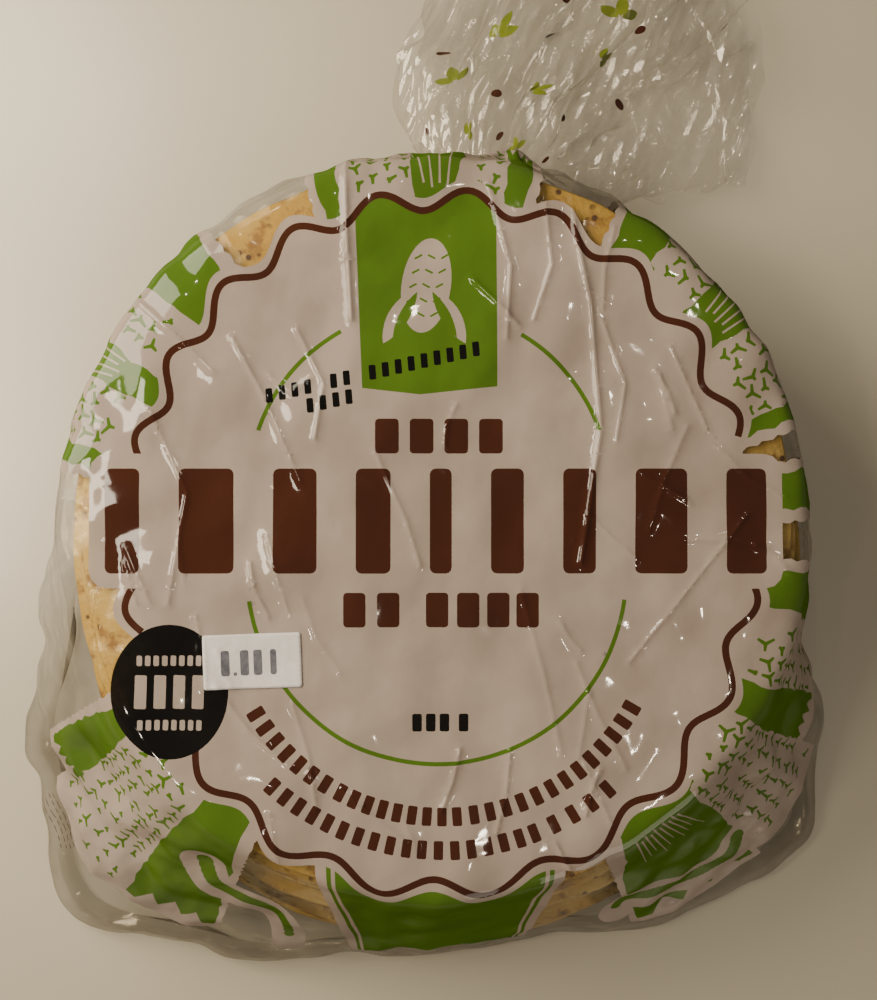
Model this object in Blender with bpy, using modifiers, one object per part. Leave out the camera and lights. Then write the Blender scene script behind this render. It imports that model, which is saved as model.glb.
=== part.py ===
"""Closed clear bag of corn tortillas, lying flat, with a price label stuck on its face.

Metres, +Z up. The origin is the middle of the tortilla stack, on the surface that the
bag lies on. +Y runs from the sealed foot of the bag to its gathered neck.
"""

import math

import bpy
from mathutils import Vector

# The tortilla stack, which sets the bag's size. Its lower tortillas lie slid towards the
# foot, so its top is set off towards the neck, by STACK_LEAN.
STACK_HALF_WIDTH = 0.0795
STACK_HALF_LENGTH = 0.0800
STACK_LEAN = 0.0035
STACK_HEIGHT = 0.058
FILM_SLACK = 0.0015
TOP_Z = STACK_HEIGHT + FILM_SLACK

# Where the film lies furthest out, all round: (bearing in degrees, radius, height).
# Beside the stack and at the neck that is a bulge at mid height. At the foot the film
# runs down to the surface, and its two corners stand out as flat ears.
RIM_STATIONS = (
    (0, 0.0872, 0.033),
    (30, 0.0875, 0.038),
    (60, 0.0893, 0.044),
    (90, 0.0893, 0.046),
    (120, 0.0898, 0.045),
    (150, 0.0880, 0.039),
    (176, 0.0900, 0.028),
    (192, 0.1005, 0.014),
    (209, 0.1178, 0.007),
    (226, 0.1345, 0.005),
    (241, 0.1205, 0.004),
    (262, 0.1070, 0.004),
    (284, 0.1045, 0.004),
    (304, 0.1158, 0.004),
    (321, 0.1232, 0.005),
    (334, 0.1095, 0.010),
    (347, 0.0915, 0.024),
)
RIM_SECTIONS = 40

# The profile of each section, from the middle of the top to the middle of the underside.
FLAT_TOP_SHARES = (0.36, 0.78)
SHOULDER_DROP = 0.0035
BASE_SHARE = 1.06
BASE_FLAT_SHARES = (0.92, 0.45)
EAR_EDGE = 0.0025
EAR_SAG = 0.006
EAR_START = 0.1045
EAR_SPREAD = 0.020
TALL_RIM = 0.028
TUCK_SHARE = 0.3

# The gathered neck behind the stack, and the loose tail past it with its pleats.
NECK_CENTRE = Vector((0.016, 0.079, 0.024))
NECK_RADIUS = 0.010
NECK_INSIDE = 0.012
TAIL_LEFT = (Vector((0.004, 0.084)), Vector((-0.028, 0.112)), Vector((0.018, 0.158)))
TAIL_RIGHT = (Vector((0.028, 0.081)), Vector((0.050, 0.083)), Vector((0.080, 0.093)))
TAIL_BULGE = 0.033
TAIL_STEPS = 7
TAIL_COLUMNS = 13
TAIL_TOP_LEFT = (0.036, 0.020)
TAIL_TOP_RIGHT = (0.030, 0.010)
TAIL_FLOOR = 0.0006
TAIL_DROP_SHARE = 0.35
PLEAT_DEPTH = 0.0022

# The price label, flat on the bag's face.
LABEL_SIZE = (0.0215, 0.012, 0.0002)
LABEL_CENTRE = (-0.0397, -0.0248)
LABEL_TURN = math.radians(2.0)
LABEL_CORNER = 0.0006
FACE_GAP = 0.0003


def clear_scene():
    """Remove every object of the startup scene."""
    for thing in list(bpy.data.objects):
        bpy.data.objects.remove(thing)


def new_collection(name):
    """A collection of that name in the scene."""
    made = bpy.data.collections.new(name)
    bpy.context.scene.collection.children.link(made)
    return made


def new_material(name, colour, roughness, alpha=1.0):
    """A Principled BSDF of one colour."""
    made = bpy.data.materials.new(name)
    made.use_nodes = True
    shader = made.node_tree.nodes["Principled BSDF"]
    shader.inputs["Base Color"].default_value = (*colour, 1.0)
    shader.inputs["Roughness"].default_value = roughness
    shader.inputs["Metallic"].default_value = 0.0
    shader.inputs["Alpha"].default_value = alpha
    return made


def new_object(name, mesh, material, collection):
    """An object of that mesh and material in the collection."""
    made = bpy.data.objects.new(name, mesh)
    mesh.materials.append(material)
    collection.objects.link(made)
    return made


def smoothed(obj, levels):
    """Round a coarse cage with a Subdivision Surface."""
    modifier = obj.modifiers.new("round", "SUBSURF")
    modifier.levels = levels
    modifier.render_levels = levels
    obj.data.shade_smooth()


def loft(name, rings, first_pole=None, last_pole=None):
    """A closed mesh through rings of equally many points.

    Each end is closed by a fan to its pole. An end without one is closed by a strip of
    faces from its ring's first half to its second.
    """
    count = len(rings[0])
    points = [tuple(point) for ring in rings for point in ring]
    faces = []
    for row in range(len(rings) - 1):
        here, there = row * count, (row + 1) * count
        for column in range(count):
            beside = (column + 1) % count
            faces.append((here + column, there + column, there + beside, here + beside))
    for pole, start, outward in (
        (first_pole, 0, True),
        (last_pole, (len(rings) - 1) * count, False),
    ):
        loop = list(range(start, start + count))
        if not outward:
            loop.reverse()
        if pole is None:
            for i in range(count // 2 - 1):
                faces.append((loop[i], loop[i + 1], loop[count - 2 - i], loop[count - 1 - i]))
            continue
        points.append(tuple(pole))
        middle = len(points) - 1
        faces += [(middle, loop[i], loop[(i + 1) % count]) for i in range(count)]
    mesh = bpy.data.meshes.new(name)
    mesh.from_pydata(points, [], faces)
    mesh.validate()
    return mesh


def rim_at(bearing):
    """(radius, height) of the film's furthest reach at a bearing, eased between stations."""
    stations = [*RIM_STATIONS, (RIM_STATIONS[0][0] + 360, *RIM_STATIONS[0][1:])]
    for (low, r0, z0), (high, r1, z1) in zip(stations, stations[1:]):
        if low <= bearing <= high:
            share = (bearing - low) / (high - low)
            eased = share * share * (3 - 2 * share)
            return r0 + (r1 - r0) * eased, z0 + (z1 - z0) * eased
    raise ValueError(f"no rim station spans {bearing} degrees")


def stack_reach(bearing):
    """How far the stack's top reaches at a bearing, as an ellipse set off by its lean."""
    turn = math.radians(bearing)
    across, along = math.cos(turn) / STACK_HALF_WIDTH, math.sin(turn) / STACK_HALF_LENGTH
    return 1 / math.hypot(across, along) + STACK_LEAN * math.sin(turn)


def body_profile(bearing):
    """(radius, height) points of one section, from the top down, without the poles."""
    stack = stack_reach(bearing)
    rim_radius, rim_z = rim_at(bearing)
    flat = 1 - min(1.0, rim_z / TALL_RIM)
    base = stack * BASE_SHARE + flat * (rim_radius - EAR_EDGE - stack * BASE_SHARE)
    profile = [(share * stack, TOP_Z) for share in FLAT_TOP_SHARES]
    profile.append((stack + FILM_SLACK, TOP_Z - SHOULDER_DROP))
    shoulder = profile[-1]
    sag = EAR_SAG * min(1.0, max(0.0, (rim_radius - EAR_START) / EAR_SPREAD))
    halfway_radius = (shoulder[0] + rim_radius - sag) / 2
    halfway_z = (shoulder[1] + rim_z - sag) / 2
    profile += [(halfway_radius, halfway_z), (rim_radius, rim_z)]
    profile.append((rim_radius + (base - rim_radius) * TUCK_SHARE, rim_z * TUCK_SHARE))
    profile.append((base, 0.0))
    profile += [(base * share, 0.0) for share in BASE_FLAT_SHARES]
    return profile


def body_mesh():
    """The film body round the stack, as a loft of profiles that differ all round."""
    bearings = [360 * i / RIM_SECTIONS for i in range(RIM_SECTIONS)]
    profiles = [body_profile(bearing) for bearing in bearings]
    turns = [(math.cos(math.radians(b)), math.sin(math.radians(b))) for b in bearings]
    rings = []
    for level in range(len(profiles[0])):
        rings.append(
            [
                (profile[level][0] * c, profile[level][0] * s, profile[level][1])
                for profile, (c, s) in zip(profiles, turns)
            ]
        )
    for ring in rings:
        ring.reverse()
    return loft("bag_body", rings, (0, 0, TOP_Z), (0, 0, 0))


def bezier(points, share):
    """A point of a quadratic Bezier curve."""
    a, b, c = points
    return a * (1 - share) ** 2 + b * 2 * share * (1 - share) + c * share**2


def tail_plan(across, along):
    """Where the tail lies, seen from above: across from left to right, along to its mouth."""
    left, right = bezier(TAIL_LEFT, along), bezier(TAIL_RIGHT, along)
    bulge = TAIL_BULGE * along * math.sin(math.pi * across) * math.sqrt(0.5)
    return left.lerp(right, across) + Vector((bulge, bulge))


def tail_ring(along):
    """One closed section of the tail: its upper side left to right, then its lower side back."""
    left_top, right_top = (
        high + (low - high) * along for high, low in (TAIL_TOP_LEFT, TAIL_TOP_RIGHT)
    )
    lift = max(0.0, 1 - along / TAIL_DROP_SHARE)
    floor = TAIL_FLOOR + lift * (NECK_CENTRE.z - NECK_RADIUS)
    upper, lower = [], []
    for column in range(TAIL_COLUMNS):
        across = column / (TAIL_COLUMNS - 1)
        top = left_top + (right_top - left_top) * across
        edge = math.sin(math.pi * (0.12 + 0.76 * across))
        middle = (top + floor) / 2
        half = (top - floor) / 2 * edge
        pleat = PLEAT_DEPTH * (-1) ** column
        x, y = tail_plan(across, along)
        upper.append((x, y, middle + half + pleat))
        lower.append((x, y, max(TAIL_FLOOR, middle - half + pleat)))
    return upper + lower[::-1]


def neck_ring(inward):
    """A round section of the gathered neck, that far inside the bag's body."""
    count = 2 * TAIL_COLUMNS
    ring = []
    for i in range(count):
        angle = math.pi - math.pi * (i + 0.5) / TAIL_COLUMNS
        ring.append(
            (
                NECK_CENTRE.x + NECK_RADIUS * math.cos(angle),
                NECK_CENTRE.y - inward,
                NECK_CENTRE.z + NECK_RADIUS * math.sin(angle),
            )
        )
    return ring


def tail_mesh():
    """The gathered neck and the loose tail as one closed form."""
    rings = [neck_ring(NECK_INSIDE), neck_ring(NECK_INSIDE / 2)]
    rings += [tail_ring(step / TAIL_STEPS) for step in range(TAIL_STEPS + 1)]
    return loft("bag_tail", rings)


def make_bag(parts, helpers):
    """The filled bag as one solid: its body joined to its neck and tail."""
    film = new_material("clear_film", (0.82, 0.78, 0.72), 0.2, 0.9)
    bag = new_object("filled_bag", body_mesh(), film, parts)
    smoothed(bag, 1)
    tail = new_object("bag_tail_join", tail_mesh(), film, helpers)
    smoothed(tail, 1)
    tail.hide_render = True
    tail.display_type = "WIRE"
    union = bag.modifiers.new("tail", "BOOLEAN")
    union.operation = "UNION"
    union.solver = "EXACT"
    union.object = tail
    return bag


def make_label(parts):
    """The small price label, a rounded sticker just clear of the film."""
    paper = new_material("label_paper", (0.86, 0.86, 0.88), 0.55)
    bpy.ops.mesh.primitive_cube_add(size=1)
    label = bpy.context.active_object
    label.name = "price_label"
    for held in list(label.users_collection):
        held.objects.unlink(label)
    parts.objects.link(label)
    label.data.materials.append(paper)
    for vertex in label.data.vertices:
        vertex.co = [at * side for at, side in zip(vertex.co, LABEL_SIZE)]
    label.location = (*LABEL_CENTRE, TOP_Z + FACE_GAP + LABEL_SIZE[2] / 2)
    label.rotation_euler = (0, 0, LABEL_TURN)
    upright = label.data.attributes.new("bevel_weight_edge", "FLOAT", "EDGE")
    for edge in label.data.edges:
        ends = [label.data.vertices[i].co for i in edge.vertices]
        upright.data[edge.index].value = float(abs(ends[0].z - ends[1].z) > LABEL_SIZE[2] / 2)
    corners = label.modifiers.new("corners", "BEVEL")
    corners.limit_method = "WEIGHT"
    corners.width = LABEL_CORNER
    corners.segments = 3
    return label


def main():
    """Build the bag and its label."""
    clear_scene()
    parts = new_collection("corn_tortilla_bag")
    helpers = new_collection("joins")
    make_bag(parts, helpers)
    make_label(parts)


main()
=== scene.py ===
"""Closed clear bag of corn tortillas: its printed film, its loose tail, the stack and the label.

The bag is one sheet of film drawn over the stack. The sheet is first laid out flat, in
millimetres from the middle of its face, with every printed shape cut into its mesh, so
that ink edges are mesh edges. It is then draped: a point of the flat sheet at some
bearing and distance from the middle goes that far along the bag's section at that
bearing. The tail and the label are laid out and draped in the same way.
"""

from __future__ import annotations

import logging
import math
from collections.abc import Callable, Iterator
from dataclasses import dataclass, field
from enum import Enum

import bpy
import numpy as np
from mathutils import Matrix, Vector
from mathutils.geometry import delaunay_2d_cdt


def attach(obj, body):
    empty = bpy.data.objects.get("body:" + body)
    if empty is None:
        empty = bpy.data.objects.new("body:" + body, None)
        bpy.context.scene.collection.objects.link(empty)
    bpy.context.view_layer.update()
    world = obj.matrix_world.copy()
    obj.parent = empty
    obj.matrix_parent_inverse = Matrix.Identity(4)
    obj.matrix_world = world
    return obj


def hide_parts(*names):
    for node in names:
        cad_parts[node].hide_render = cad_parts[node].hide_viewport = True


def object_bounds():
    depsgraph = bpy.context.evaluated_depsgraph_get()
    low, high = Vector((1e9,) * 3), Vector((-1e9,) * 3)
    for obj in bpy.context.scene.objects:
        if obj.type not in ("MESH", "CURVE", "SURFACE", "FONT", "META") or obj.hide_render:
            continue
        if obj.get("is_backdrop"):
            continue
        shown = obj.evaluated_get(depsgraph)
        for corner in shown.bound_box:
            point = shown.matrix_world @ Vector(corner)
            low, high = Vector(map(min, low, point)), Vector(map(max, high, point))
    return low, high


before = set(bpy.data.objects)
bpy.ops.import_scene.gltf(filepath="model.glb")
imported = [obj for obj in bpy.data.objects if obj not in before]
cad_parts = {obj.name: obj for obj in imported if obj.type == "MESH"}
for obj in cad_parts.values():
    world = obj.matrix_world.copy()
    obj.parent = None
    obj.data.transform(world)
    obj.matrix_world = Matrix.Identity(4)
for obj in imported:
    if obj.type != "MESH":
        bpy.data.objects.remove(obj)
CAD_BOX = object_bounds()

Array = np.ndarray
Colour = tuple[float, float, float]
Place = tuple[float, float]
Span = tuple[float, float]
LOG = logging.getLogger("tortilla_bag")
BODY = "root"
MM = 0.001
TAU = 2 * math.pi


class Ink(Enum):
    """What a patch of sheet carries. The value is its material's place on the piece."""

    NONE = 0
    WHITE = 1
    GREEN = 2
    BROWN = 3
    BLACK = 4


class Motif(Enum):
    """What fills one sector of the ring round the printed disc."""

    COB = "cob"
    HUSK = "husk"
    HATCHED_HUSK = "hatched husk"


# ---------------------------------------------------------------------------
# Waves and fields
# ---------------------------------------------------------------------------


def fold(phase: Array, sharpness: float = 0.96) -> Array:
    """A rounded triangle wave from -1 to 1 and of period 1: the arcsine of a damped sine."""
    return np.arcsin(sharpness * np.sin(TAU * phase)) / math.asin(sharpness)


def smooth(values: Array, low: float, high: float) -> Array:
    """A cubic step from 0 at low to 1 at high."""
    share = np.clip((values - low) / (high - low), 0.0, 1.0)
    return share * share * (3 - 2 * share)


@dataclass(frozen=True)
class Crumple:
    """Crushed film: rounded triangle waves along random directions, added together.

    Each wave bends a second wave's phase, so its creases break and turn as they do on
    film that has been handled.
    """

    seed: int
    folds: int
    shortest: float
    longest: float
    sharpness: float = 0.96

    def height(self, x: Array, y: Array) -> Array:
        """Height of the crumpled sheet, about -1 to 1.

        Args:
            x: Places along the first axis, in the unit of the two wavelengths.
            y: Places along the second axis.

        Returns:
            The sum of the waves, each weighted by its own wavelength.
        """
        draw = np.random.default_rng(self.seed)
        total = np.zeros_like(np.asarray(x, float))
        weight = 0.0
        for _ in range(self.folds):
            turn, phase, bend = draw.uniform(0, TAU), draw.uniform(), draw.uniform()
            wave = self.shortest * (self.longest / self.shortest) ** draw.uniform()
            along = (x * math.cos(turn) + y * math.sin(turn)) / wave
            across = (y * math.cos(turn) - x * math.sin(turn)) / (2.4 * wave)
            total += wave * fold(along + phase + 0.3 * fold(across + bend), self.sharpness)
            weight += wave
        return total * 2.0 / weight


@dataclass(frozen=True)
class Crease:
    """One long crease that runs through a few points of the flat sheet, in millimetres."""

    path: tuple[Place, ...]
    height: float
    width: float

    def ridge(self, x: Array, y: Array) -> Array:
        """Height of the crease: a bell over the distance to the nearest of its straight runs.

        Args:
            x: Places along the sheet's first axis, in millimetres.
            y: Places along its second axis.

        Returns:
            The crease's height at each place, in millimetres.
        """
        nearest = np.full(np.shape(x), np.inf)
        for (x0, y0), (x1, y1) in zip(self.path, self.path[1:]):
            run_x, run_y = x1 - x0, y1 - y0
            share = ((x - x0) * run_x + (y - y0) * run_y) / (run_x**2 + run_y**2)
            share = np.clip(share, 0.0, 1.0)
            gap = np.hypot(x - x0 - share * run_x, y - y0 - share * run_y)
            nearest = np.minimum(nearest, gap)
        return self.height / (1 + (nearest / self.width) ** 2) ** 1.5

    def rows(self, pitch: float = 0.8) -> Array:
        """Points in five rows along the crease, so that a mesh can follow its section.

        Args:
            pitch: How far apart the points of a row are, in millimetres.

        Returns:
            The points, one row for each.
        """
        rows = []
        for start, end in zip(np.array(self.path), np.array(self.path[1:])):
            run = end - start
            length = np.linalg.norm(run)
            share = np.linspace(0, 1, max(2, int(length / pitch)))[:, None]
            aside = np.array([-run[1], run[0]]) / length * self.width
            rows += [start + run * share + aside * step for step in (-1.4, -0.6, 0, 0.6, 1.4)]
        return np.concatenate(rows)


# ---------------------------------------------------------------------------
# Flat outlines, in millimetres
# ---------------------------------------------------------------------------


@dataclass(frozen=True)
class Patch:
    """A closed outline of one ink on the flat sheet, in millimetres."""

    ink: Ink
    outline: Array


def turned(points: Array, degrees: float, centre: Place) -> Array:
    """Points turned about the origin and then moved to a centre.

    Args:
        points: The points, one row for each.
        degrees: Their turn, counterclockwise.
        centre: Where the origin goes.

    Returns:
        The moved points.
    """
    cosine, sine = math.cos(math.radians(degrees)), math.sin(math.radians(degrees))
    matrix = np.array([[cosine, sine], [-sine, cosine]])
    return points @ matrix + np.asarray(centre)


def oval(centre: Place, half: Place, degrees: float = 0) -> Array:
    """An ellipse as an outline of points about a millimetre apart.

    Args:
        centre: The ellipse's middle.
        half: Its two half widths.
        degrees: Its turn, counterclockwise.

    Returns:
        The outline's points.
    """
    count = max(16, int(TAU * max(half) / 1.1))
    turn = np.linspace(0, TAU, count, endpoint=False)
    return turned(np.stack([half[0] * np.cos(turn), half[1] * np.sin(turn)], 1), degrees, centre)


def block(centre: Place, size: Place, degrees: float = 0, corner: float = 0.5) -> Array:
    """A rectangle with round corners.

    Args:
        centre: The rectangle's middle.
        size: Its width and height.
        degrees: Its turn, counterclockwise.
        corner: The corners' radius.

    Returns:
        The outline's points: four quarter circles joined by straight sides.
    """
    turn = np.linspace(0, math.pi / 2, 4)
    quarter = corner * np.stack([np.cos(turn), np.sin(turn)], 1)
    inner = np.asarray(size) / 2 - corner
    corners = []
    for step, signs in enumerate(((1, 1), (-1, 1), (-1, -1), (1, -1))):
        corners.append(turned(quarter, 90 * step, (signs[0] * inner[0], signs[1] * inner[1])))
    return turned(np.concatenate(corners), degrees, centre)


def band(path: Array, width: float | Array) -> Array:
    """A ribbon along a path, as the path moved half a width to each side.

    Args:
        path: The ribbon's middle line, one row for each point.
        width: Its width, one for all or one for each point.

    Returns:
        The outline: one side and then the other side backwards.
    """
    along = np.gradient(path, axis=0)
    along /= np.linalg.norm(along, axis=1, keepdims=True)
    aside = np.stack([-along[:, 1], along[:, 0]], 1) * (np.reshape(width, (-1, 1)) / 2)
    return np.concatenate([path - aside, (path + aside)[::-1]])


def polar(degrees: Array, reach: Array) -> Array:
    """Points at bearings, in degrees, and distances from the middle."""
    turn = np.radians(degrees)
    return np.stack([reach * np.cos(turn), reach * np.sin(turn)], 1)


def arc_band(centre: Place, radius: float, start: float, end: float, width: float) -> Array:
    """A ribbon along a circle's arc between two bearings."""
    count = max(3, int(radius * math.radians(abs(end - start)) / 1.1))
    return band(polar(np.linspace(start, end, count), np.full(count, radius)) + centre, width)


def bezier(points: tuple[Place, ...], count: int) -> Array:
    """A Bezier curve: its control points weighted by the Bernstein polynomials.

    Args:
        points: The control points.
        count: How many points the curve gets.

    Returns:
        The curve's points.
    """
    share = np.linspace(0, 1, count)
    order = len(points) - 1
    weights = [
        math.comb(order, k) * share**k * (1 - share) ** (order - k) for k in range(order + 1)
    ]
    return np.stack(weights, 1) @ np.asarray(points, float)


def leaf(centre: Place, length: float, width: float, degrees: float) -> Array:
    """A pointed leaf: a blunted half sine to each side of its middle line.

    Args:
        centre: The leaf's middle.
        length: From tip to tip.
        width: Its greatest width.
        degrees: Its heading, counterclockwise.

    Returns:
        The outline's points.
    """
    share = np.linspace(0, 1, max(8, int(length / 1.1)))
    side = width / 2 * np.sin(math.pi * share) ** 0.8
    spine = (share - 0.5) * length
    upper = np.stack([spine, side], 1)
    lower = np.stack([spine[::-1], -side[::-1]], 1)[1:-1]
    return turned(np.concatenate([upper, lower]), degrees, centre)


def wound(outline: Array) -> Array:
    """An outline that runs counterclockwise, turned round if its signed area is negative.

    Args:
        outline: A closed outline's points, running either way.

    Returns:
        The same points, counterclockwise.
    """
    ahead = np.roll(outline, -1, axis=0)
    area = np.sum(outline[:, 0] * ahead[:, 1] - ahead[:, 0] * outline[:, 1])
    return outline if area > 0 else outline[::-1]


def close_spaced(outline: Array, step: float) -> Array:
    """An outline with points put into its long sides, so that none is longer than a step.

    Args:
        outline: The closed outline's points.
        step: The longest side allowed.

    Returns:
        The outline with each side cut into equal runs.
    """
    sides = np.roll(outline, -1, axis=0) - outline
    cuts = np.maximum(1, np.ceil(np.linalg.norm(sides, axis=1) / step)).astype(int)
    first = np.repeat(np.arange(len(outline)), cuts)
    place = np.arange(cuts.sum()) - np.repeat(np.cumsum(cuts) - cuts, cuts)
    return outline[first] + sides[first] * (place / cuts[first])[:, None]


# ---------------------------------------------------------------------------
# Sheets cut from flat stock
# ---------------------------------------------------------------------------


@dataclass
class FlatSheet:
    """A flat sheet as triangles, each with the ink that was laid on it last."""

    points: Array
    triangles: Array
    inks: Array

    @classmethod
    def cut(
        cls,
        edge: Array,
        inside: Callable[[Array], Array],
        patches: list[Patch],
        spacing: float,
        extra: Array | None = None,
    ) -> FlatSheet:
        """Cut a sheet and its ink into triangles.

        The points are a triangular lattice and every outline. A constrained Delaunay
        triangulation joins them and says which outlines hold each triangle. The last
        laid of those is the ink that shows.

        Args:
            edge: The sheet's outline, kept point for point.
            inside: Tells which of some points lie well inside the sheet.
            patches: The ink, in the order in which it is laid.
            spacing: The lattice's pitch, in millimetres.
            extra: More points of the sheet, such as those along its creases.

        Returns:
            The flat sheet.
        """
        shapes = [close_spaced(patch.outline, spacing) for patch in patches]
        outlines = [wound(outline) for outline in (edge, *shapes)]
        low, high = edge.min(0), edge.max(0)
        rows = np.arange(low[1], high[1], spacing * math.sqrt(0.75))
        columns = np.arange(low[0], high[0], spacing)
        x, y = np.meshgrid(columns, rows)
        x[1::2] += spacing / 2
        fixed, lattice = np.concatenate(outlines), np.stack([x.ravel(), y.ravel()], 1)
        extra = np.empty((0, 2)) if extra is None else cls._clear_of(extra, fixed, 0.35 * spacing)
        extra = extra[np.unique(cls._cells(extra, 0.3 * spacing), return_index=True)[1]]
        lattice = cls._clear_of(lattice, np.concatenate([fixed, extra]), 0.6 * spacing)
        loose = np.concatenate([lattice, extra])
        loose = loose[inside(loose)]

        starts = np.cumsum([0] + [len(outline) for outline in outlines])
        faces = [list(range(a, b)) for a, b in zip(starts, starts[1:])]
        points = np.concatenate([fixed, loose]).tolist()
        made, _, triangles, _, _, holders = delaunay_2d_cdt(points, [], faces, 1, 1e-5, True)
        inks = np.array([Ink.NONE.value] + [patch.ink.value for patch in patches])
        last = np.fromiter((max(held, default=0) for held in holders), int, len(holders))
        return cls(np.array([tuple(p) for p in made]), np.array(triangles), inks[last])

    @classmethod
    def _clear_of(cls, loose: Array, fixed: Array, size: float) -> Array:
        """Those loose points whose square cell holds none of the fixed points."""
        return loose[~np.isin(cls._cells(loose, size), cls._cells(fixed, size))]

    @staticmethod
    def _cells(points: Array, size: float) -> Array:
        """One whole number for the square cell that holds each point."""
        cells = np.floor(points / size).astype(np.int64)
        return cells[:, 0] * 1_000_003 + cells[:, 1]


def make_piece(
    name: str,
    points: Array,
    faces: list[Array],
    finishes: list[bpy.types.Material],
    inks: Array | None = None,
) -> bpy.types.Object:
    """Put points and faces into a smooth-shaded mesh object at the origin.

    Args:
        name: The piece's name.
        points: Places in metres, one row for each vertex.
        faces: Arrays of vertex numbers, each with one row for each face.
        finishes: The piece's materials.
        inks: The material's place for each face, or None for the first everywhere.

    Returns:
        The new object, in the scene's collection.
    """
    mesh = bpy.data.meshes.new(name)
    corners = [row for group in faces for row in group.tolist()]
    mesh.from_pydata(points.tolist(), [], corners)
    for finish in finishes:
        mesh.materials.append(finish)
    if inks is not None:
        mesh.polygons.foreach_set("material_index", np.asarray(inks, np.int32))
    mesh.polygons.foreach_set("use_smooth", np.ones(len(mesh.polygons), bool))
    mesh.update()
    piece = bpy.data.objects.new(name, mesh)
    bpy.context.scene.collection.objects.link(piece)
    return piece


def grid_faces(rows: int, columns: int, first: int = 0) -> Array:
    """Quads of a grid whose columns close on themselves.

    Args:
        rows: How many rings of points.
        columns: How many points in a ring.
        first: The number of the grid's first vertex.

    Returns:
        Four vertex numbers a face, outward from ring to ring and then along it.
    """
    ring, column = np.meshgrid(np.arange(rows - 1), np.arange(columns), indexing="ij")
    beside = (column + 1) % columns
    here, there = first + ring * columns, first + (ring + 1) * columns
    corners = (here + column, there + column, there + beside, here + beside)
    return np.stack(corners, -1).reshape(-1, 4)


# ---------------------------------------------------------------------------
# Finishes
# ---------------------------------------------------------------------------


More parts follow.
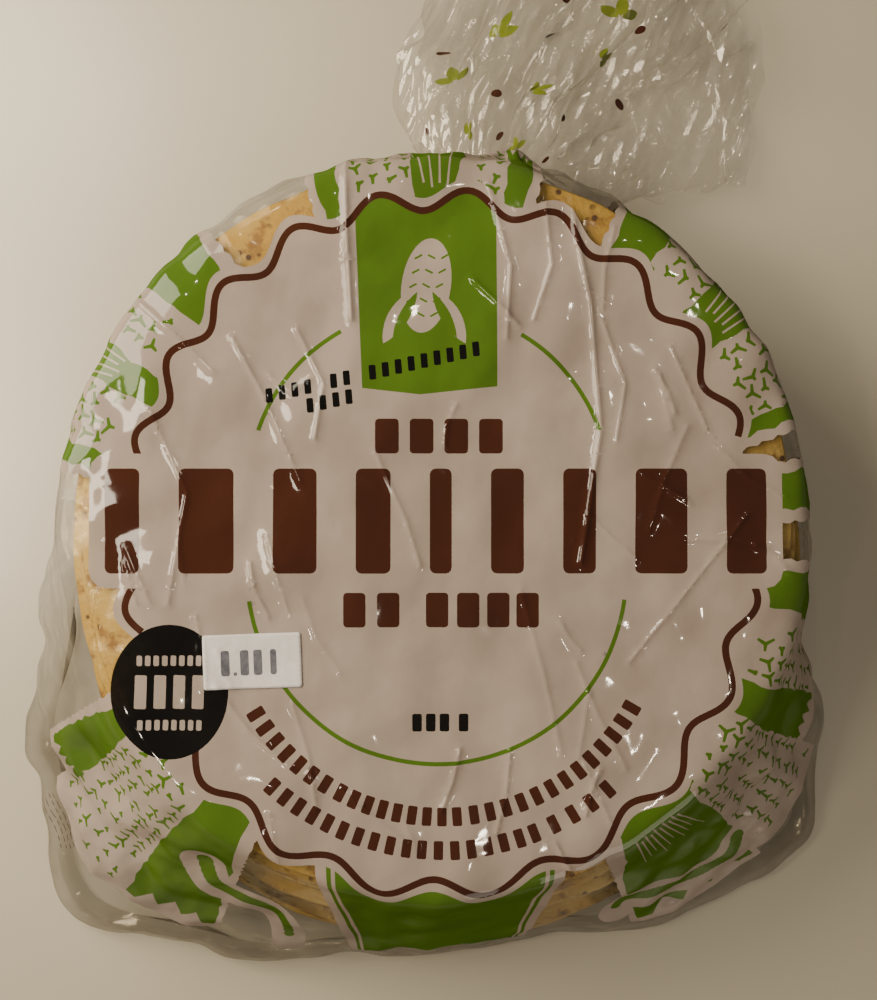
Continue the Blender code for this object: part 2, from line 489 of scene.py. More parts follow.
class Shader:
    """A new material and short ways to add and join its nodes."""

    def __init__(self, name: str) -> None:
        """Start a material that holds one Principled BSDF.

        Args:
            name: The material's name.
        """
        self.material = bpy.data.materials.new(name)
        self.material.use_nodes = True
        self.tree = self.material.node_tree
        self.surface = self.tree.nodes["Principled BSDF"]

    def add(self, kind: str, **values: object) -> bpy.types.Node:
        """A node of a kind, with its properties and inputs set by name.

        Args:
            kind: The node's type, without its ShaderNode prefix.
            **values: Properties of the node, or inputs named with _ for a blank.

        Returns:
            The new node.
        """
        node = self.tree.nodes.new("ShaderNode" + kind)
        for name, value in values.items():
            if hasattr(node, name):
                setattr(node, name, value)
                continue
            socket = next(s for s in node.inputs if s.name.replace(" ", "_") == name)
            socket.default_value = value
        return node

    def join(self, source: bpy.types.NodeSocket, target: bpy.types.NodeSocket) -> None:
        """Link an output to an input."""
        self.tree.links.new(source, target)

    def feed(self, name: str, source: bpy.types.NodeSocket) -> None:
        """Link an output to one of the surface's own inputs."""
        self.join(source, self.surface.inputs[name])

    def place(self) -> bpy.types.NodeSocket:
        """The piece's own coordinates, in metres."""
        return self.add("TexCoord").outputs["Object"]

    def noise(self, scale: float, detail: float = 3.0, rough: float = 0.55) -> bpy.types.NodeSocket:
        """The height of a fractal noise in the piece's own coordinates.

        Args:
            scale: About how many waves there are in a metre.
            detail: How many finer layers are added.
            rough: How strong each finer layer is against the last.

        Returns:
            The height, from 0 to 1.
        """
        node = self.add("TexNoise", Scale=scale, Detail=detail, Roughness=rough)
        self.join(self.place(), node.inputs["Vector"])
        return node.outputs["Fac"]

    def between(
        self, source: bpy.types.NodeSocket, low: float, high: float, out: Span
    ) -> bpy.types.NodeSocket:
        """A value mapped smoothly from one range to another, and held beyond it.

        Args:
            source: The value.
            low: Where its range starts.
            high: Where its range ends.
            out: What those two ends become.

        Returns:
            The mapped value.
        """
        node = self.add("MapRange", interpolation_type="SMOOTHSTEP")
        self.join(source, node.inputs["Value"])
        for name, value in zip(("From Min", "From Max", "To Min", "To Max"), (low, high, *out)):
            node.inputs[name].default_value = value
        return node.outputs["Result"]

    def blend(
        self, share: bpy.types.NodeSocket, first: Colour | bpy.types.NodeSocket, second: Colour
    ) -> bpy.types.NodeSocket:
        """A colour that goes from the first to the second by a share.

        Args:
            share: How much of the second there is, from 0 to 1.
            first: A fixed colour, or another node's colour.
            second: A fixed colour.

        Returns:
            The mixed colour.
        """
        node = self.add("Mix", data_type="RGBA")
        self.join(share, node.inputs["Factor"])
        start, end = (socket for socket in node.inputs if socket.type == "RGBA")
        if isinstance(first, tuple):
            start.default_value = (*first, 1.0)
        else:
            self.join(first, start)
        end.default_value = (*second, 1.0)
        return next(socket for socket in node.outputs if socket.type == "RGBA")

    def paint(
        self, source: bpy.types.NodeSocket, low: float, high: float, first: Colour, second: Colour
    ) -> None:
        """Colour the surface from a first to a second colour as a value rises through a range."""
        share = self.between(source, low, high, (0, 1))
        self.feed("Base Color", self.blend(share, first, second))

    def roughen(self, source: bpy.types.NodeSocket, low: float, high: float, out: Span) -> None:
        """Vary the surface's roughness as a value rises through a range."""
        self.feed("Roughness", self.between(source, low, high, out))

    def total(self, *sources: bpy.types.NodeSocket) -> bpy.types.NodeSocket:
        """The sum of some values, held between 0 and 1.

        Args:
            *sources: The values.

        Returns:
            Their sum.
        """
        whole = sources[0]
        for source in sources[1:]:
            node = self.add("Math", operation="ADD", use_clamp=True)
            self.join(whole, node.inputs[0])
            self.join(source, node.inputs[1])
            whole = node.outputs["Value"]
        return whole

    def dent(self, source: bpy.types.NodeSocket, strength: float, depth: float) -> None:
        """Bump the surface.

        Args:
            source: The height, as a value.
            strength: How much the bump turns the surface, from 0 to 1.
            depth: The height in metres for a value of one.
        """
        node = self.add("Bump", Strength=strength, Distance=depth)
        self.join(source, node.inputs["Height"])
        self.feed("Normal", node.outputs["Normal"])

    def constant(self, **values: float) -> None:
        """Set inputs of the surface itself, named with _ for a blank."""
        for name, value in values.items():
            self.surface.inputs[name.replace("_", " ")].default_value = value


@dataclass(frozen=True)
class ClearFilm:
    """Clear glossy film: mostly see-through, with a mirror's gloss and a faint haze.

    veil, haze, doubled and edge_on are shares of light. The third is a darker veil near the floor:
    partly the film lying double there, and partly painted shade under the film. facets is how many
    a metre, and depth their height in metres. heading is in degrees from the first axis.
    """

    name: str
    veil: float
    haze: float
    crinkle: float
    tint: Colour = (0.22, 0.19, 0.14)
    double_and_shade: float = 0.3
    edge_on: float = 0.34
    facets: float = 95.0
    depth: float = 0.0012
    heading: float = 0.0
    stretch: float = 1.0

    def make(self) -> bpy.types.Material:
        """The film as a thin mirror: its alpha is the share of light that it turns back.

        That share is a cloudy veil, with more where the film is seen edge-on. It also has a darker
        veil near the floor, which stands partly for the film lying double on the ears and partly
        for painted shade under the film. Its facets are stretched along its heading.

        Returns:
            The material.
        """
        shader = Shader(self.name)
        shader.constant(Metallic=0.72)
        cloud = shader.noise(38.0, 4.0)
        shader.paint(cloud, 0.3, 0.7, self.tint, tuple(0.8 * v for v in self.tint))
        fine = shader.noise(420.0, 3.0)
        veil = shader.between(cloud, 0.35, 0.7, (self.veil, self.veil + self.haze))
        axes = shader.add("SeparateXYZ")
        shader.join(shader.place(), axes.inputs["Vector"])
        # painted shade: more of the dark tint near the floor, where the film also lies double
        double_and_shade = shader.between(axes.outputs["Z"], 0.003, 0.012, (self.double_and_shade, 0.0))
        facing = shader.add("LayerWeight", Blend=0.5).outputs["Facing"]
        edge_on = shader.between(facing, 0.35, 0.95, (0.0, self.edge_on))
        shader.feed("Alpha", shader.total(veil, double_and_shade, edge_on))
        shader.roughen(fine, 0.3, 0.75, (0.07, 0.2))
        grain = shader.add("Mapping", vector_type="TEXTURE")
        grain.inputs["Rotation"].default_value = (0.0, 0.0, math.radians(self.heading))
        grain.inputs["Scale"].default_value = (self.stretch, 1.0, 1.0)
        shader.join(shader.place(), grain.inputs["Vector"])
        cells = shader.add("TexVoronoi", Scale=self.facets, Randomness=1.0)
        shader.join(grain.outputs["Vector"], cells.inputs["Vector"])
        shader.dent(cells.outputs["Distance"], self.crinkle, self.depth)
        return shader.material


@dataclass(frozen=True)
class PrintedFilm:
    """Film with ink on its inner side: the ink's colour under the film's gloss."""

    name: str
    colour: Colour
    faded: Colour
    cover: float = 1.0

    def make(self) -> bpy.types.Material:
        """Ink that is a little uneven, with a glossy coat for the film over it.

        Returns:
            The material.
        """
        shader = Shader(self.name)
        shader.constant(Specular_IOR_Level=0.0, Coat_Roughness=0.06, Coat_IOR=1.4)
        facing = shader.add("LayerWeight", Blend=0.5).outputs["Facing"]
        coat = shader.between(facing, 0.3, 0.75, (1.0, 0.03))
        shader.feed("Coat Weight", coat)
        shader.paint(shader.noise(55.0, 4.0), 0.3, 0.72, self.colour, self.faded)
        cover = shader.between(shader.noise(24.0, 2.0), 0.3, 0.7, (self.cover - 0.03, self.cover))
        shader.feed("Alpha", cover)
        fine = shader.noise(420.0, 3.0)
        shader.roughen(fine, 0.3, 0.75, (0.28, 0.42))
        shader.dent(fine, 0.25, 0.0003)
        return shader.material


@dataclass(frozen=True)
class ToastedCorn:
    """Corn tortilla: a dry yellow-tan face with paler flour, toasted blots and dark specks."""

    name: str = "toasted_corn"
    dough: Colour = (0.42, 0.245, 0.04)
    floury: Colour = (0.53, 0.36, 0.11)
    toast: Colour = (0.22, 0.1, 0.025)
    speck: Colour = (0.08, 0.04, 0.02)

    def make(self) -> bpy.types.Material:
        """Layers of noise from broad cloud to fine grain, then sparse specks.

        Returns:
            The material.
        """
        shader = Shader(self.name)
        shader.constant(Specular_IOR_Level=0.3)
        broad, middle = shader.noise(46.0, 5.0, 0.6), shader.noise(190.0, 4.0, 0.6)
        colour = shader.blend(shader.between(broad, 0.36, 0.64, (0, 1)), self.dough, self.floury)
        colour = shader.blend(shader.between(middle, 0.5, 0.66, (0, 0.9)), colour, self.toast)
        specks = shader.add("TexVoronoi", Scale=310.0, Randomness=1.0)
        shader.join(shader.place(), specks.inputs["Vector"])
        spot = shader.between(specks.outputs["Distance"], 0.14, 0.28, (1, 0))
        rare = shader.between(shader.noise(120.0, 2.0), 0.44, 0.56, (0, 1))
        share = shader.add("Math", operation="MULTIPLY")
        shader.join(spot, share.inputs[0])
        shader.join(rare, share.inputs[1])
        colour = shader.blend(share.outputs["Value"], colour, self.speck)
        shader.feed("Base Color", colour)
        shader.roughen(broad, 0.3, 0.7, (0.62, 0.85))
        shader.dent(shader.noise(650.0, 6.0, 0.65), 0.6, 0.0006)
        return shader.material


@dataclass(frozen=True)
class LabelPaper:
    """Matt sticker paper, or the dull ink on it."""

    name: str
    colour: Colour
    worn: Colour

    def make(self) -> bpy.types.Material:
        """Paper with a faint fibre in its colour and its surface.

        Returns:
            The material.
        """
        shader = Shader(self.name)
        shader.constant(Specular_IOR_Level=0.35)
        fibre = shader.noise(900.0, 5.0, 0.7)
        shader.paint(fibre, 0.3, 0.7, self.colour, self.worn)
        shader.roughen(fibre, 0.3, 0.7, (0.45, 0.62))
        shader.dent(fibre, 0.2, 0.0001)
        return shader.material


@dataclass(frozen=True)
class TableTop:
    """A plain pale surface with a soft sheen."""

    name: str = "table_top"
    colour: Colour = (0.43, 0.39, 0.3)
    faded: Colour = (0.405, 0.365, 0.28)

    def make(self) -> bpy.types.Material:
        """Cream laminate, a little uneven."""
        shader = Shader(self.name)
        shader.constant(Specular_IOR_Level=1.0)
        cloud = shader.noise(6.0, 3.0)
        shader.paint(cloud, 0.35, 0.65, self.colour, self.faded)
        shader.roughen(cloud, 0.3, 0.7, (0.28, 0.34))
        return shader.material


@dataclass(frozen=True)
class FilmInks:
    """The bag's film in each ink, in the order of the Ink values."""

    clear: ClearFilm = ClearFilm("clear_film", 0.08, 0.11, 0.8)
    white: PrintedFilm = PrintedFilm("white_ink", (0.34, 0.278, 0.24), (0.285, 0.23, 0.196), 0.95)
    green: PrintedFilm = PrintedFilm("green_ink", (0.062, 0.125, 0.01), (0.052, 0.105, 0.01))
    brown: PrintedFilm = PrintedFilm("brown_ink", (0.047, 0.014, 0.007), (0.038, 0.012, 0.007))
    black: PrintedFilm = PrintedFilm("black_ink", (0.003, 0.003, 0.003), (0.005, 0.004, 0.004))

    def make(self) -> list[bpy.types.Material]:
        """The materials, clear film first."""
        return [ink.make() for ink in (self.clear, self.white, self.green, self.brown, self.black)]


# ---------------------------------------------------------------------------
# The print on the bag's face
# ---------------------------------------------------------------------------


@dataclass(frozen=True)
class RingSector:
    """One motif of the ring, between two bearings in degrees."""

    motif: Motif
    start: float
    end: float
    lean: float = 0.0


@dataclass
class CornRing:
    """The ring of corn cobs and husk leaves round the printed disc, in millimetres.

    The gaps between its sectors are the clear windows that show the tortillas.
    """

    inner: float = 66.0
    outer: float = 114.0
    ear_reach: float = 18.0
    halo: float = 1.9
    kernel_long: float = 3.5
    kernel_wide: float = 3.9
    mark_arm: float = 2.2
    mark_thick: float = 0.82
    marks_kept: float = 0.86
    marks_from: float = 76.0
    hatch_from: float = 79.0
    hatch_to: float = 96.0
    seed: int = 12
    sectors: tuple[RingSector, ...] = (
        RingSector(Motif.HUSK, 5.5, 12.5),
        RingSector(Motif.HUSK, 19.5, 22.5, 1.0),
        RingSector(Motif.COB, 22.5, 34.0),
        RingSector(Motif.HATCHED_HUSK, 34.0, 43.5, -2.0),
        RingSector(Motif.COB, 43.5, 52.5),
        RingSector(Motif.HUSK, 52.5, 60.5, 2.5),
        RingSector(Motif.HUSK, 75.0, 79.0, 1.0),
        RingSector(Motif.COB, 79.5, 85.5),
        RingSector(Motif.HATCHED_HUSK, 85.5, 93.5, -1.0),
        RingSector(Motif.COB, 93.5, 104.5),
        RingSector(Motif.HUSK, 104.5, 108.0, -1.0),
        RingSector(Motif.HUSK, 127.0, 138.5, 3.0),
        RingSector(Motif.COB, 138.5, 147.0),
        RingSector(Motif.HATCHED_HUSK, 147.0, 153.5, -1.5),
        RingSector(Motif.COB, 153.5, 163.5),
        RingSector(Motif.HUSK, 163.5, 167.0),
        RingSector(Motif.HUSK, 206.0, 212.5, 1.5),
        RingSector(Motif.COB, 212.5, 227.0),
        RingSector(Motif.HUSK, 227.0, 238.5, 3.0),
        RingSector(Motif.HATCHED_HUSK, 299.5, 317.0, -2.5),
        RingSector(Motif.COB, 317.0, 331.0),
        RingSector(Motif.HUSK, 331.0, 338.0, 1.5),
        RingSector(Motif.COB, 338.0, 349.0),
        RingSector(Motif.HUSK, 349.0, 356.5, -1.0),
    )

    def patches(self) -> Iterator[Patch]:
        """The ring's ink: white grounds first, then the green on them.

        Yields:
            White and green patches.
        """
        for sector in self.sectors:
            yield Patch(Ink.WHITE, self._ground(sector))
        for number, sector in enumerate(self.sectors):
            if sector.motif is Motif.COB:
                yield from self._kernel_marks(sector, number)
            else:
                yield Patch(Ink.GREEN, self._husk(sector, number))
            if sector.motif is Motif.HATCHED_HUSK:
                yield from self._hatching(sector)

    def _outer(self, sector: RingSector) -> float:
        """How far out a sector goes: further on the bag's two ears."""
        middle = (sector.start + sector.end) / 2
        ears = math.exp(-(((middle - 226) / 15) ** 2)) + math.exp(-(((middle - 314) / 15) ** 2))
        return self.outer + self.ear_reach * ears

    def _reach(self, sector: RingSector, share: Array) -> Array:
        """Distances from the middle at shares of the way out along a sector."""
        return self.inner + share * (self._outer(sector) - self.inner)

    def _sides(self, sector: RingSector, swell: float, share: Array) -> tuple[Array, Array]:
        """The sector's two sides, which lean with its motif.

        Args:
            sector: The sector.
            swell: How far each side is moved outward, in millimetres.
            share: Shares of the way out.

        Returns:
            The bearings of the first and the second side at those shares.
        """
        reach = self._reach(sector, share)
        spread = np.degrees(swell / reach)
        lean = sector.lean * (share - 0.5)
        return sector.start + lean - spread, sector.end + lean + spread

    def _ground(self, sector: RingSector) -> Array:
        """White under a sector: the sector widened by the halo, with a rounded outer end.

        Args:
            sector: The sector.

        Returns:
            The outline, whose sides swing with the kernels.
        """
        share = np.linspace(0, 1, 40)
        reach = self._reach(sector, share)
        lumps = 0.35 * np.sin(TAU * reach / self.kernel_long)
        low, high = self._sides(sector, self.halo, share)
        width = np.degrees(lumps / reach)
        across = np.linspace(-1, 1, 12)
        end_reach = self._outer(sector) + self.halo + 3.0 * (1 - across**2)
        end = polar(low[-1] + (high[-1] - low[-1]) * (across + 1) / 2, end_reach)
        return np.concatenate([polar(high + width, reach)[::-1], polar(low - width, reach), end])

    def _husk(self, sector: RingSector, number: int) -> Array:
        """A green husk leaf: narrow at its root, torn at its sides and at its outer end.

        Args:
            sector: The husk's sector.
            number: The sector's place in the ring, for its random draws.

        Returns:
            The leaf's outline.
        """
        draw = np.random.default_rng(self.seed + number)
        share = np.linspace(0, 1, 26)
        reach = self._reach(sector, share)
        low, high = self._sides(sector, 0.0, share)
        pinch = 0.14 * (1 - smooth(share, 0.1, 0.6)) * (high - low)
        torn = np.degrees(draw.uniform(-0.45, 0.45, (2, len(share))) / reach)
        low, high = low + pinch + torn[0], high - pinch * 0.6 + torn[1]
        across = np.linspace(0.12, 0.88, 7)
        spikes = self._outer(sector) + np.where(np.arange(7) % 2, -4.5, 1.0)
        spikes = spikes + draw.uniform(-1, 1, 7)
        end = polar(low[-1] + (high[-1] - low[-1]) * across, spikes)
        return np.concatenate([polar(high, reach)[::-1], polar(low, reach), end])

    def _hatching(self, sector: RingSector) -> Iterator[Patch]:
        """Fine pale lines fanned over a husk, from its root outward.

        Args:
            sector: The husk's sector.

        Yields:
            One white patch for each line.
        """
        lines = max(4, int((sector.end - sector.start) / 1.7))
        for number, share in enumerate(np.linspace(0.3, 0.75, lines)):
            bearing = sector.start + (sector.end - sector.start) * share
            start = self.hatch_from + number % 2
            reach = np.linspace(start, self.hatch_to - 2.0 * (number % 3), 14)
            spread = (reach - self.hatch_from) * (share - 0.4) * 0.35
            fan = bearing + spread + sector.lean * 0.1
            yield Patch(Ink.WHITE, band(polar(fan, reach), np.linspace(0.5, 0.2, 14)))

    def _kernel_marks(self, sector: RingSector, number: int) -> Iterator[Patch]:
        """Small three-armed green marks where the cob's kernels meet.

        The kernels lie in rows along the bearing, every second row half a kernel on. A
        mark is a star of three arms about each meeting point, and some are left out.

        Args:
            sector: The cob's sector.
            number: The sector's place in the ring, for its random draws.

        Yields:
            One green patch for each mark.
        """
        draw = np.random.default_rng(self.seed * 100 + number)
        middle = (self.inner + self.outer) / 2
        wide = math.radians(sector.end - sector.start) * middle - 1.0
        rows = np.arange(-wide / 2 + 0.9, wide / 2 - 0.4, self.kernel_wide)
        steps = np.arange(self.marks_from, self._outer(sector) - 2.0, self.kernel_long)
        row, reach = (grid.ravel() for grid in np.meshgrid(rows, steps))
        order = np.tile(np.arange(len(rows)), len(steps))
        reach = reach + self.kernel_long / 2 * (order % 2) + draw.uniform(-0.4, 0.4, len(row))
        row = row + draw.uniform(-0.35, 0.35, len(row))
        lean = sector.lean * ((reach - self.inner) / (self._outer(sector) - self.inner) - 0.5)
        bearing = (sector.start + sector.end) / 2 + lean + np.degrees(row / middle)
        centres = polar(bearing, reach)
        kept = draw.uniform(size=len(row)) < self.marks_kept
        arms = self.mark_arm * draw.uniform(0.25, 1.15, (len(row), 3))
        first = np.radians(bearing) + math.pi / 3 * (1 + 2 * (order % 2))
        turn = first[:, None] + draw.uniform(-0.3, 0.3, (len(row), 1)) + np.arange(3) * TAU / 3
        along = np.stack([np.cos(turn), np.sin(turn)], -1)
        aside = np.stack([-along[..., 1], along[..., 0]], -1) * self.mark_thick / 2
        tips = along * arms[..., None]
        notch = turn + math.pi / 3
        hollow = np.stack([np.cos(notch), np.sin(notch)], -1) * self.mark_thick * 0.62
        star = np.stack([tips - aside * 0.7, tips + aside * 0.7, hollow], 2)
        star = star.reshape(len(row), 9, 2) + centres[:, None, :]
        for outline in star[kept]:
            yield Patch(Ink.GREEN, outline)


@dataclass
class FacePrint:
    """Everything printed on the bag's face, in millimetres from the middle of the stack."""

    disc_centre: Place = (1.5, 0.7)
    disc_half: Place = (67.8, 75.7)
    scallops: int = 22
    scallop_depth: float = 2.4
    outline_width: float = 1.55
    halo: float = 2.7
    title_middle: float = 5.9
    title_height: float = 23.0
    title_start: float = -72.0
    title_gap: float = 8.6
    title_blocks: tuple[float, ...] = (7.6, 12.0, 9.6, 7.6, 4.8, 7.2, 7.2, 11.4, 8.8)
    curls: tuple[tuple[Place, ...], ...] = (
        ((234, 98), (240, 116), (243, 101), (249, 104), (250, 126)),
        ((316, 118), (311, 132), (304, 122), (298, 104), (296, 121)),
    )
    panel_sides: Span = (-23.6, 26.6)
    panel_ends: Span = (-126.0, -62.0)
    cob_centre: Place = (-1.6, 57.5)
    badge_centre: Place = (-57.9, -31.6)
    badge_half: Place = (12.9, 14.8)
    date_slope: float = 12.6
    date_pitch: float = 2.9
    rows_centre: Place = (1.8, -11.0)
    ring: CornRing = field(default_factory=CornRing)

    def scalloped(self, outward: float, degrees: Array) -> Array:
        """Points of the scalloped outline: an ellipse whose radius swings in and out.

        Args:
            outward: How far outside the outline they lie, in millimetres.
            degrees: Their bearings from the disc's middle.

        Returns:
            The points.
        """
        turn = np.radians(degrees)
        wide, long = self.disc_half
        radius = 1 / np.hypot(np.cos(turn) / wide, np.sin(turn) / long)
        phase = self.scallops * turn - TAU * (0.07 + 0.35 * np.cos(turn - math.radians(20)))
        radius = radius + self.scallop_depth * np.cos(phase) + outward
        return polar(degrees, radius) + self.disc_centre

    def patches(self) -> list[Patch]:
        """All the ink, in the order in which it is laid.

        Returns:
            The patches, the last laid on top.
        """
        return [
            *self.ring.patches(),
            *self._foot_panel(),
            *self._curls(),
            *self._disc(),
            *self._banner(),
            *self._outline(),
            *self._title(),
            *self._small_rows(),
            *self._arcs(),
            *self._badge(),
            *self._date_dashes(),
            *self._small_print(),
        ]

    def _disc(self) -> Iterator[Patch]:
        """The white disc with its halo."""
        around = np.linspace(0, 360, 640, endpoint=False)
        yield Patch(Ink.WHITE, self.scalloped(self.halo, around))

    def _outline(self) -> Iterator[Patch]:
        """The brown outline, in the runs that the title and the badge leave free."""
        for start, end in ((20.0, 164.5), (185.5, 196.5), (219.0, 352.5)):
            around = np.arange(start, end, 0.6)
            yield Patch(Ink.BROWN, band(self.scalloped(0.0, around), self.outline_width))

    def _banner(self) -> Iterator[Patch]:
        """The green banner that hangs from the outline's top, with a plain pale cob on it.

        Yields:
            The banner and then the shapes on it.
        """
        top = self.scalloped(0.0, np.arange(80.5, 104.6, 0.8))
        foot = np.array([(-15.6, 35.0), (-3.0, 33.6), (14.0, 35.4)])
        yield Patch(Ink.GREEN, np.concatenate([top, foot]))
        cob = self.cob_centre
        yield Patch(Ink.WHITE, oval(cob, (5.4, 10.5), -8))
        for turn, side in ((62.0, -6.4), (118.0, 5.6)):
            yield Patch(Ink.WHITE, leaf((cob[0] + side, cob[1] - 7.0), 13.0, 4.2, turn))
            yield Patch(Ink.GREEN, leaf((cob[0] + side * 0.72, cob[1] - 6.4), 11.5, 2.4, turn))
        for row in range(5):
            for column in range(3):
                place = (cob[0] + 2.9 * (column - 1) + 0.6 * row - 1.2, cob[1] + 3.2 * (row - 2))
                yield Patch(Ink.GREEN, block(place, (1.9, 0.45), 28 - 56 * (column % 2), 0.2))

    def _foot_panel(self) -> Iterator[Patch]:
        """The green panel at the foot, with a thin stripe beside each of its sides."""
        (low, high), (left, right) = self.panel_ends, self.panel_sides
        middle, tall = (low + high) / 2, high - low
        yield Patch(Ink.WHITE, block(((left + right) / 2, middle), (right - left + 5.0, tall)))
        yield Patch(Ink.GREEN, block(((left + right) / 2, middle), (right - left, tall)))
        for edge, inward in ((left, 1), (right, -1)):
            yield Patch(Ink.WHITE, block((edge + 1.5 * inward, middle), (0.9, tall), 0, 0.1))

    def _curls(self) -> Iterator[Patch]:
        """The husks' curled tips that reach into the windows beside the foot panel."""
        for ink, start, end, shift in ((Ink.WHITE, 12.0, 9.5, 0.0), (Ink.GREEN, 4.6, 3.0, -1.2)):
            for way in self.curls:
                path = bezier(way, 34)
                path = polar(path[:, 0], path[:, 1] + shift)[: 34 if ink is Ink.WHITE else 32]
                for place, width in zip(path, np.linspace(start, end, len(path))):
                    yield Patch(ink, oval(tuple(place), (width / 2, width / 2)))

    def _title(self) -> Iterator[Patch]:
        """Plain brown blocks in a broad row, on their own white ground.

        Yields:
            The ground and then each block.
        """
        widths = np.array(self.title_blocks)
        total = widths.sum() + self.title_gap * (len(widths) - 1)
        middle = self.title_start + total / 2
        ground = (total + 7.0, self.title_height + 6.5)
        yield Patch(Ink.WHITE, block((middle, self.title_middle), ground, 0, 4.0))
        lefts = self.title_start + np.cumsum(widths) - widths
        lefts = lefts + self.title_gap * np.arange(len(widths))
        for left, width in zip(lefts, widths):
            centre = (left + width / 2, self.title_middle)
            yield Patch(Ink.BROWN, block(centre, (width, self.title_height), 0, 1.3))

    def _small_rows(self) -> Iterator[Patch]:
        """Small blocks above and below the title and in two curved rows near the foot.

        Yields:
            One patch for each block.
        """
        for column in range(4):
            yield Patch(Ink.BROWN, block((-10.2 + 7.6 * column, 24.5), (5.2, 7.6), 0, 0.8))
        for place in (-17.3, -9.9, 0.8, 7.6, 14.2, 20.6):
            yield Patch(Ink.BROWN, block((place, -13.6), (4.9, 7.6), 0, 0.8))
        for place in (-3.6, -0.6, 2.4, 6.6):
            yield Patch(Ink.BLACK, block((place, -38.3), (2.1, 3.9), 0, 0.4))
        for radius, runs in (
            (48.0, ((212, 238, 7), (242.5, 274, 9), (278.5, 330, 13))),
            (55.3, ((228, 262, 10), (265.5, 288, 7), (291.5, 311, 5))),
        ):
            for start, end, count in runs:
                for bearing in np.linspace(start, end, count):
                    place = polar(np.array([bearing]), np.array([radius]))[0] + self.rows_centre
                    yield Patch(Ink.BROWN, block(tuple(place), (2.1, 4.1), bearing + 90, 0.35))

    def _arcs(self) -> Iterator[Patch]:
        """Thin green arcs of two circles, one over the title and one under it."""
        for centre, radius, start, end in (
            ((-1.1, 12.9), 39.5, 19.0, 59.0),
            ((-1.1, 12.9), 39.5, 119.0, 161.0),
            ((0.7, -5.9), 41.5, 188.0, 352.5),
        ):
            yield Patch(Ink.GREEN, arc_band(centre, radius, start, end, 0.95))

    def _badge(self) -> Iterator[Patch]:
        """A black oval with plain pale bars.

        Yields:
            The oval and then each bar.
        """
        centre = self.badge_centre
        yield Patch(Ink.BLACK, oval(centre, self.badge_half))
        for lift, count, size, pitch in (
            (6.9, 8, (1.2, 2.3), 1.85),
            (0.0, 4, (2.6, 7.4), 4.2),
            (-7.3, 8, (1.2, 2.3), 1.85),
        ):
            for number in range(count):
                place = (centre[0] + pitch * (number - (count - 1) / 2), centre[1] + lift)
                yield Patch(Ink.WHITE, block(place, size, -2, 0.35))

    def _date_dashes(self) -> Iterator[Patch]:
        """Two slanting rows of small black dashes.

        Yields:
            One patch for each dash.
        """
        slope = self.date_slope
        for start, count in (((-36.0, 33.4), 17), ((-27.0, 31.2), 5)):
            for number in range(count):
                if number in (4, 7):
                    continue
                step = polar(np.array([slope]), np.array([self.date_pitch * number]))[0]
                place = (start[0] + step[0], start[1] + step[1])
                yield Patch(Ink.BLACK, block(place, (1.5, 3.2), slope - 8, 0.3))

    def _small_print(self) -> Iterator[Patch]:
        """A small block of thin word-long bars on the clear film of the left ear.

        Yields:
            One patch for each bar.
        """
        draw = np.random.default_rng(8)
        for reach in np.arange(135.0, 142.0, 2.3):
            bearing = 213.0 + draw.uniform(0, 1)
            end = 219.5 + draw.uniform(-1, 1)
            while bearing < end:
                turn = math.degrees(draw.uniform(0.9, 2.8) / reach)
                around = np.linspace(bearing, bearing + turn, 4)
                yield Patch(Ink.BROWN, band(polar(around, np.full(4, reach)), 0.3))
                bearing += turn + 0.4


# ---------------------------------------------------------------------------
# The bag
# ---------------------------------------------------------------------------


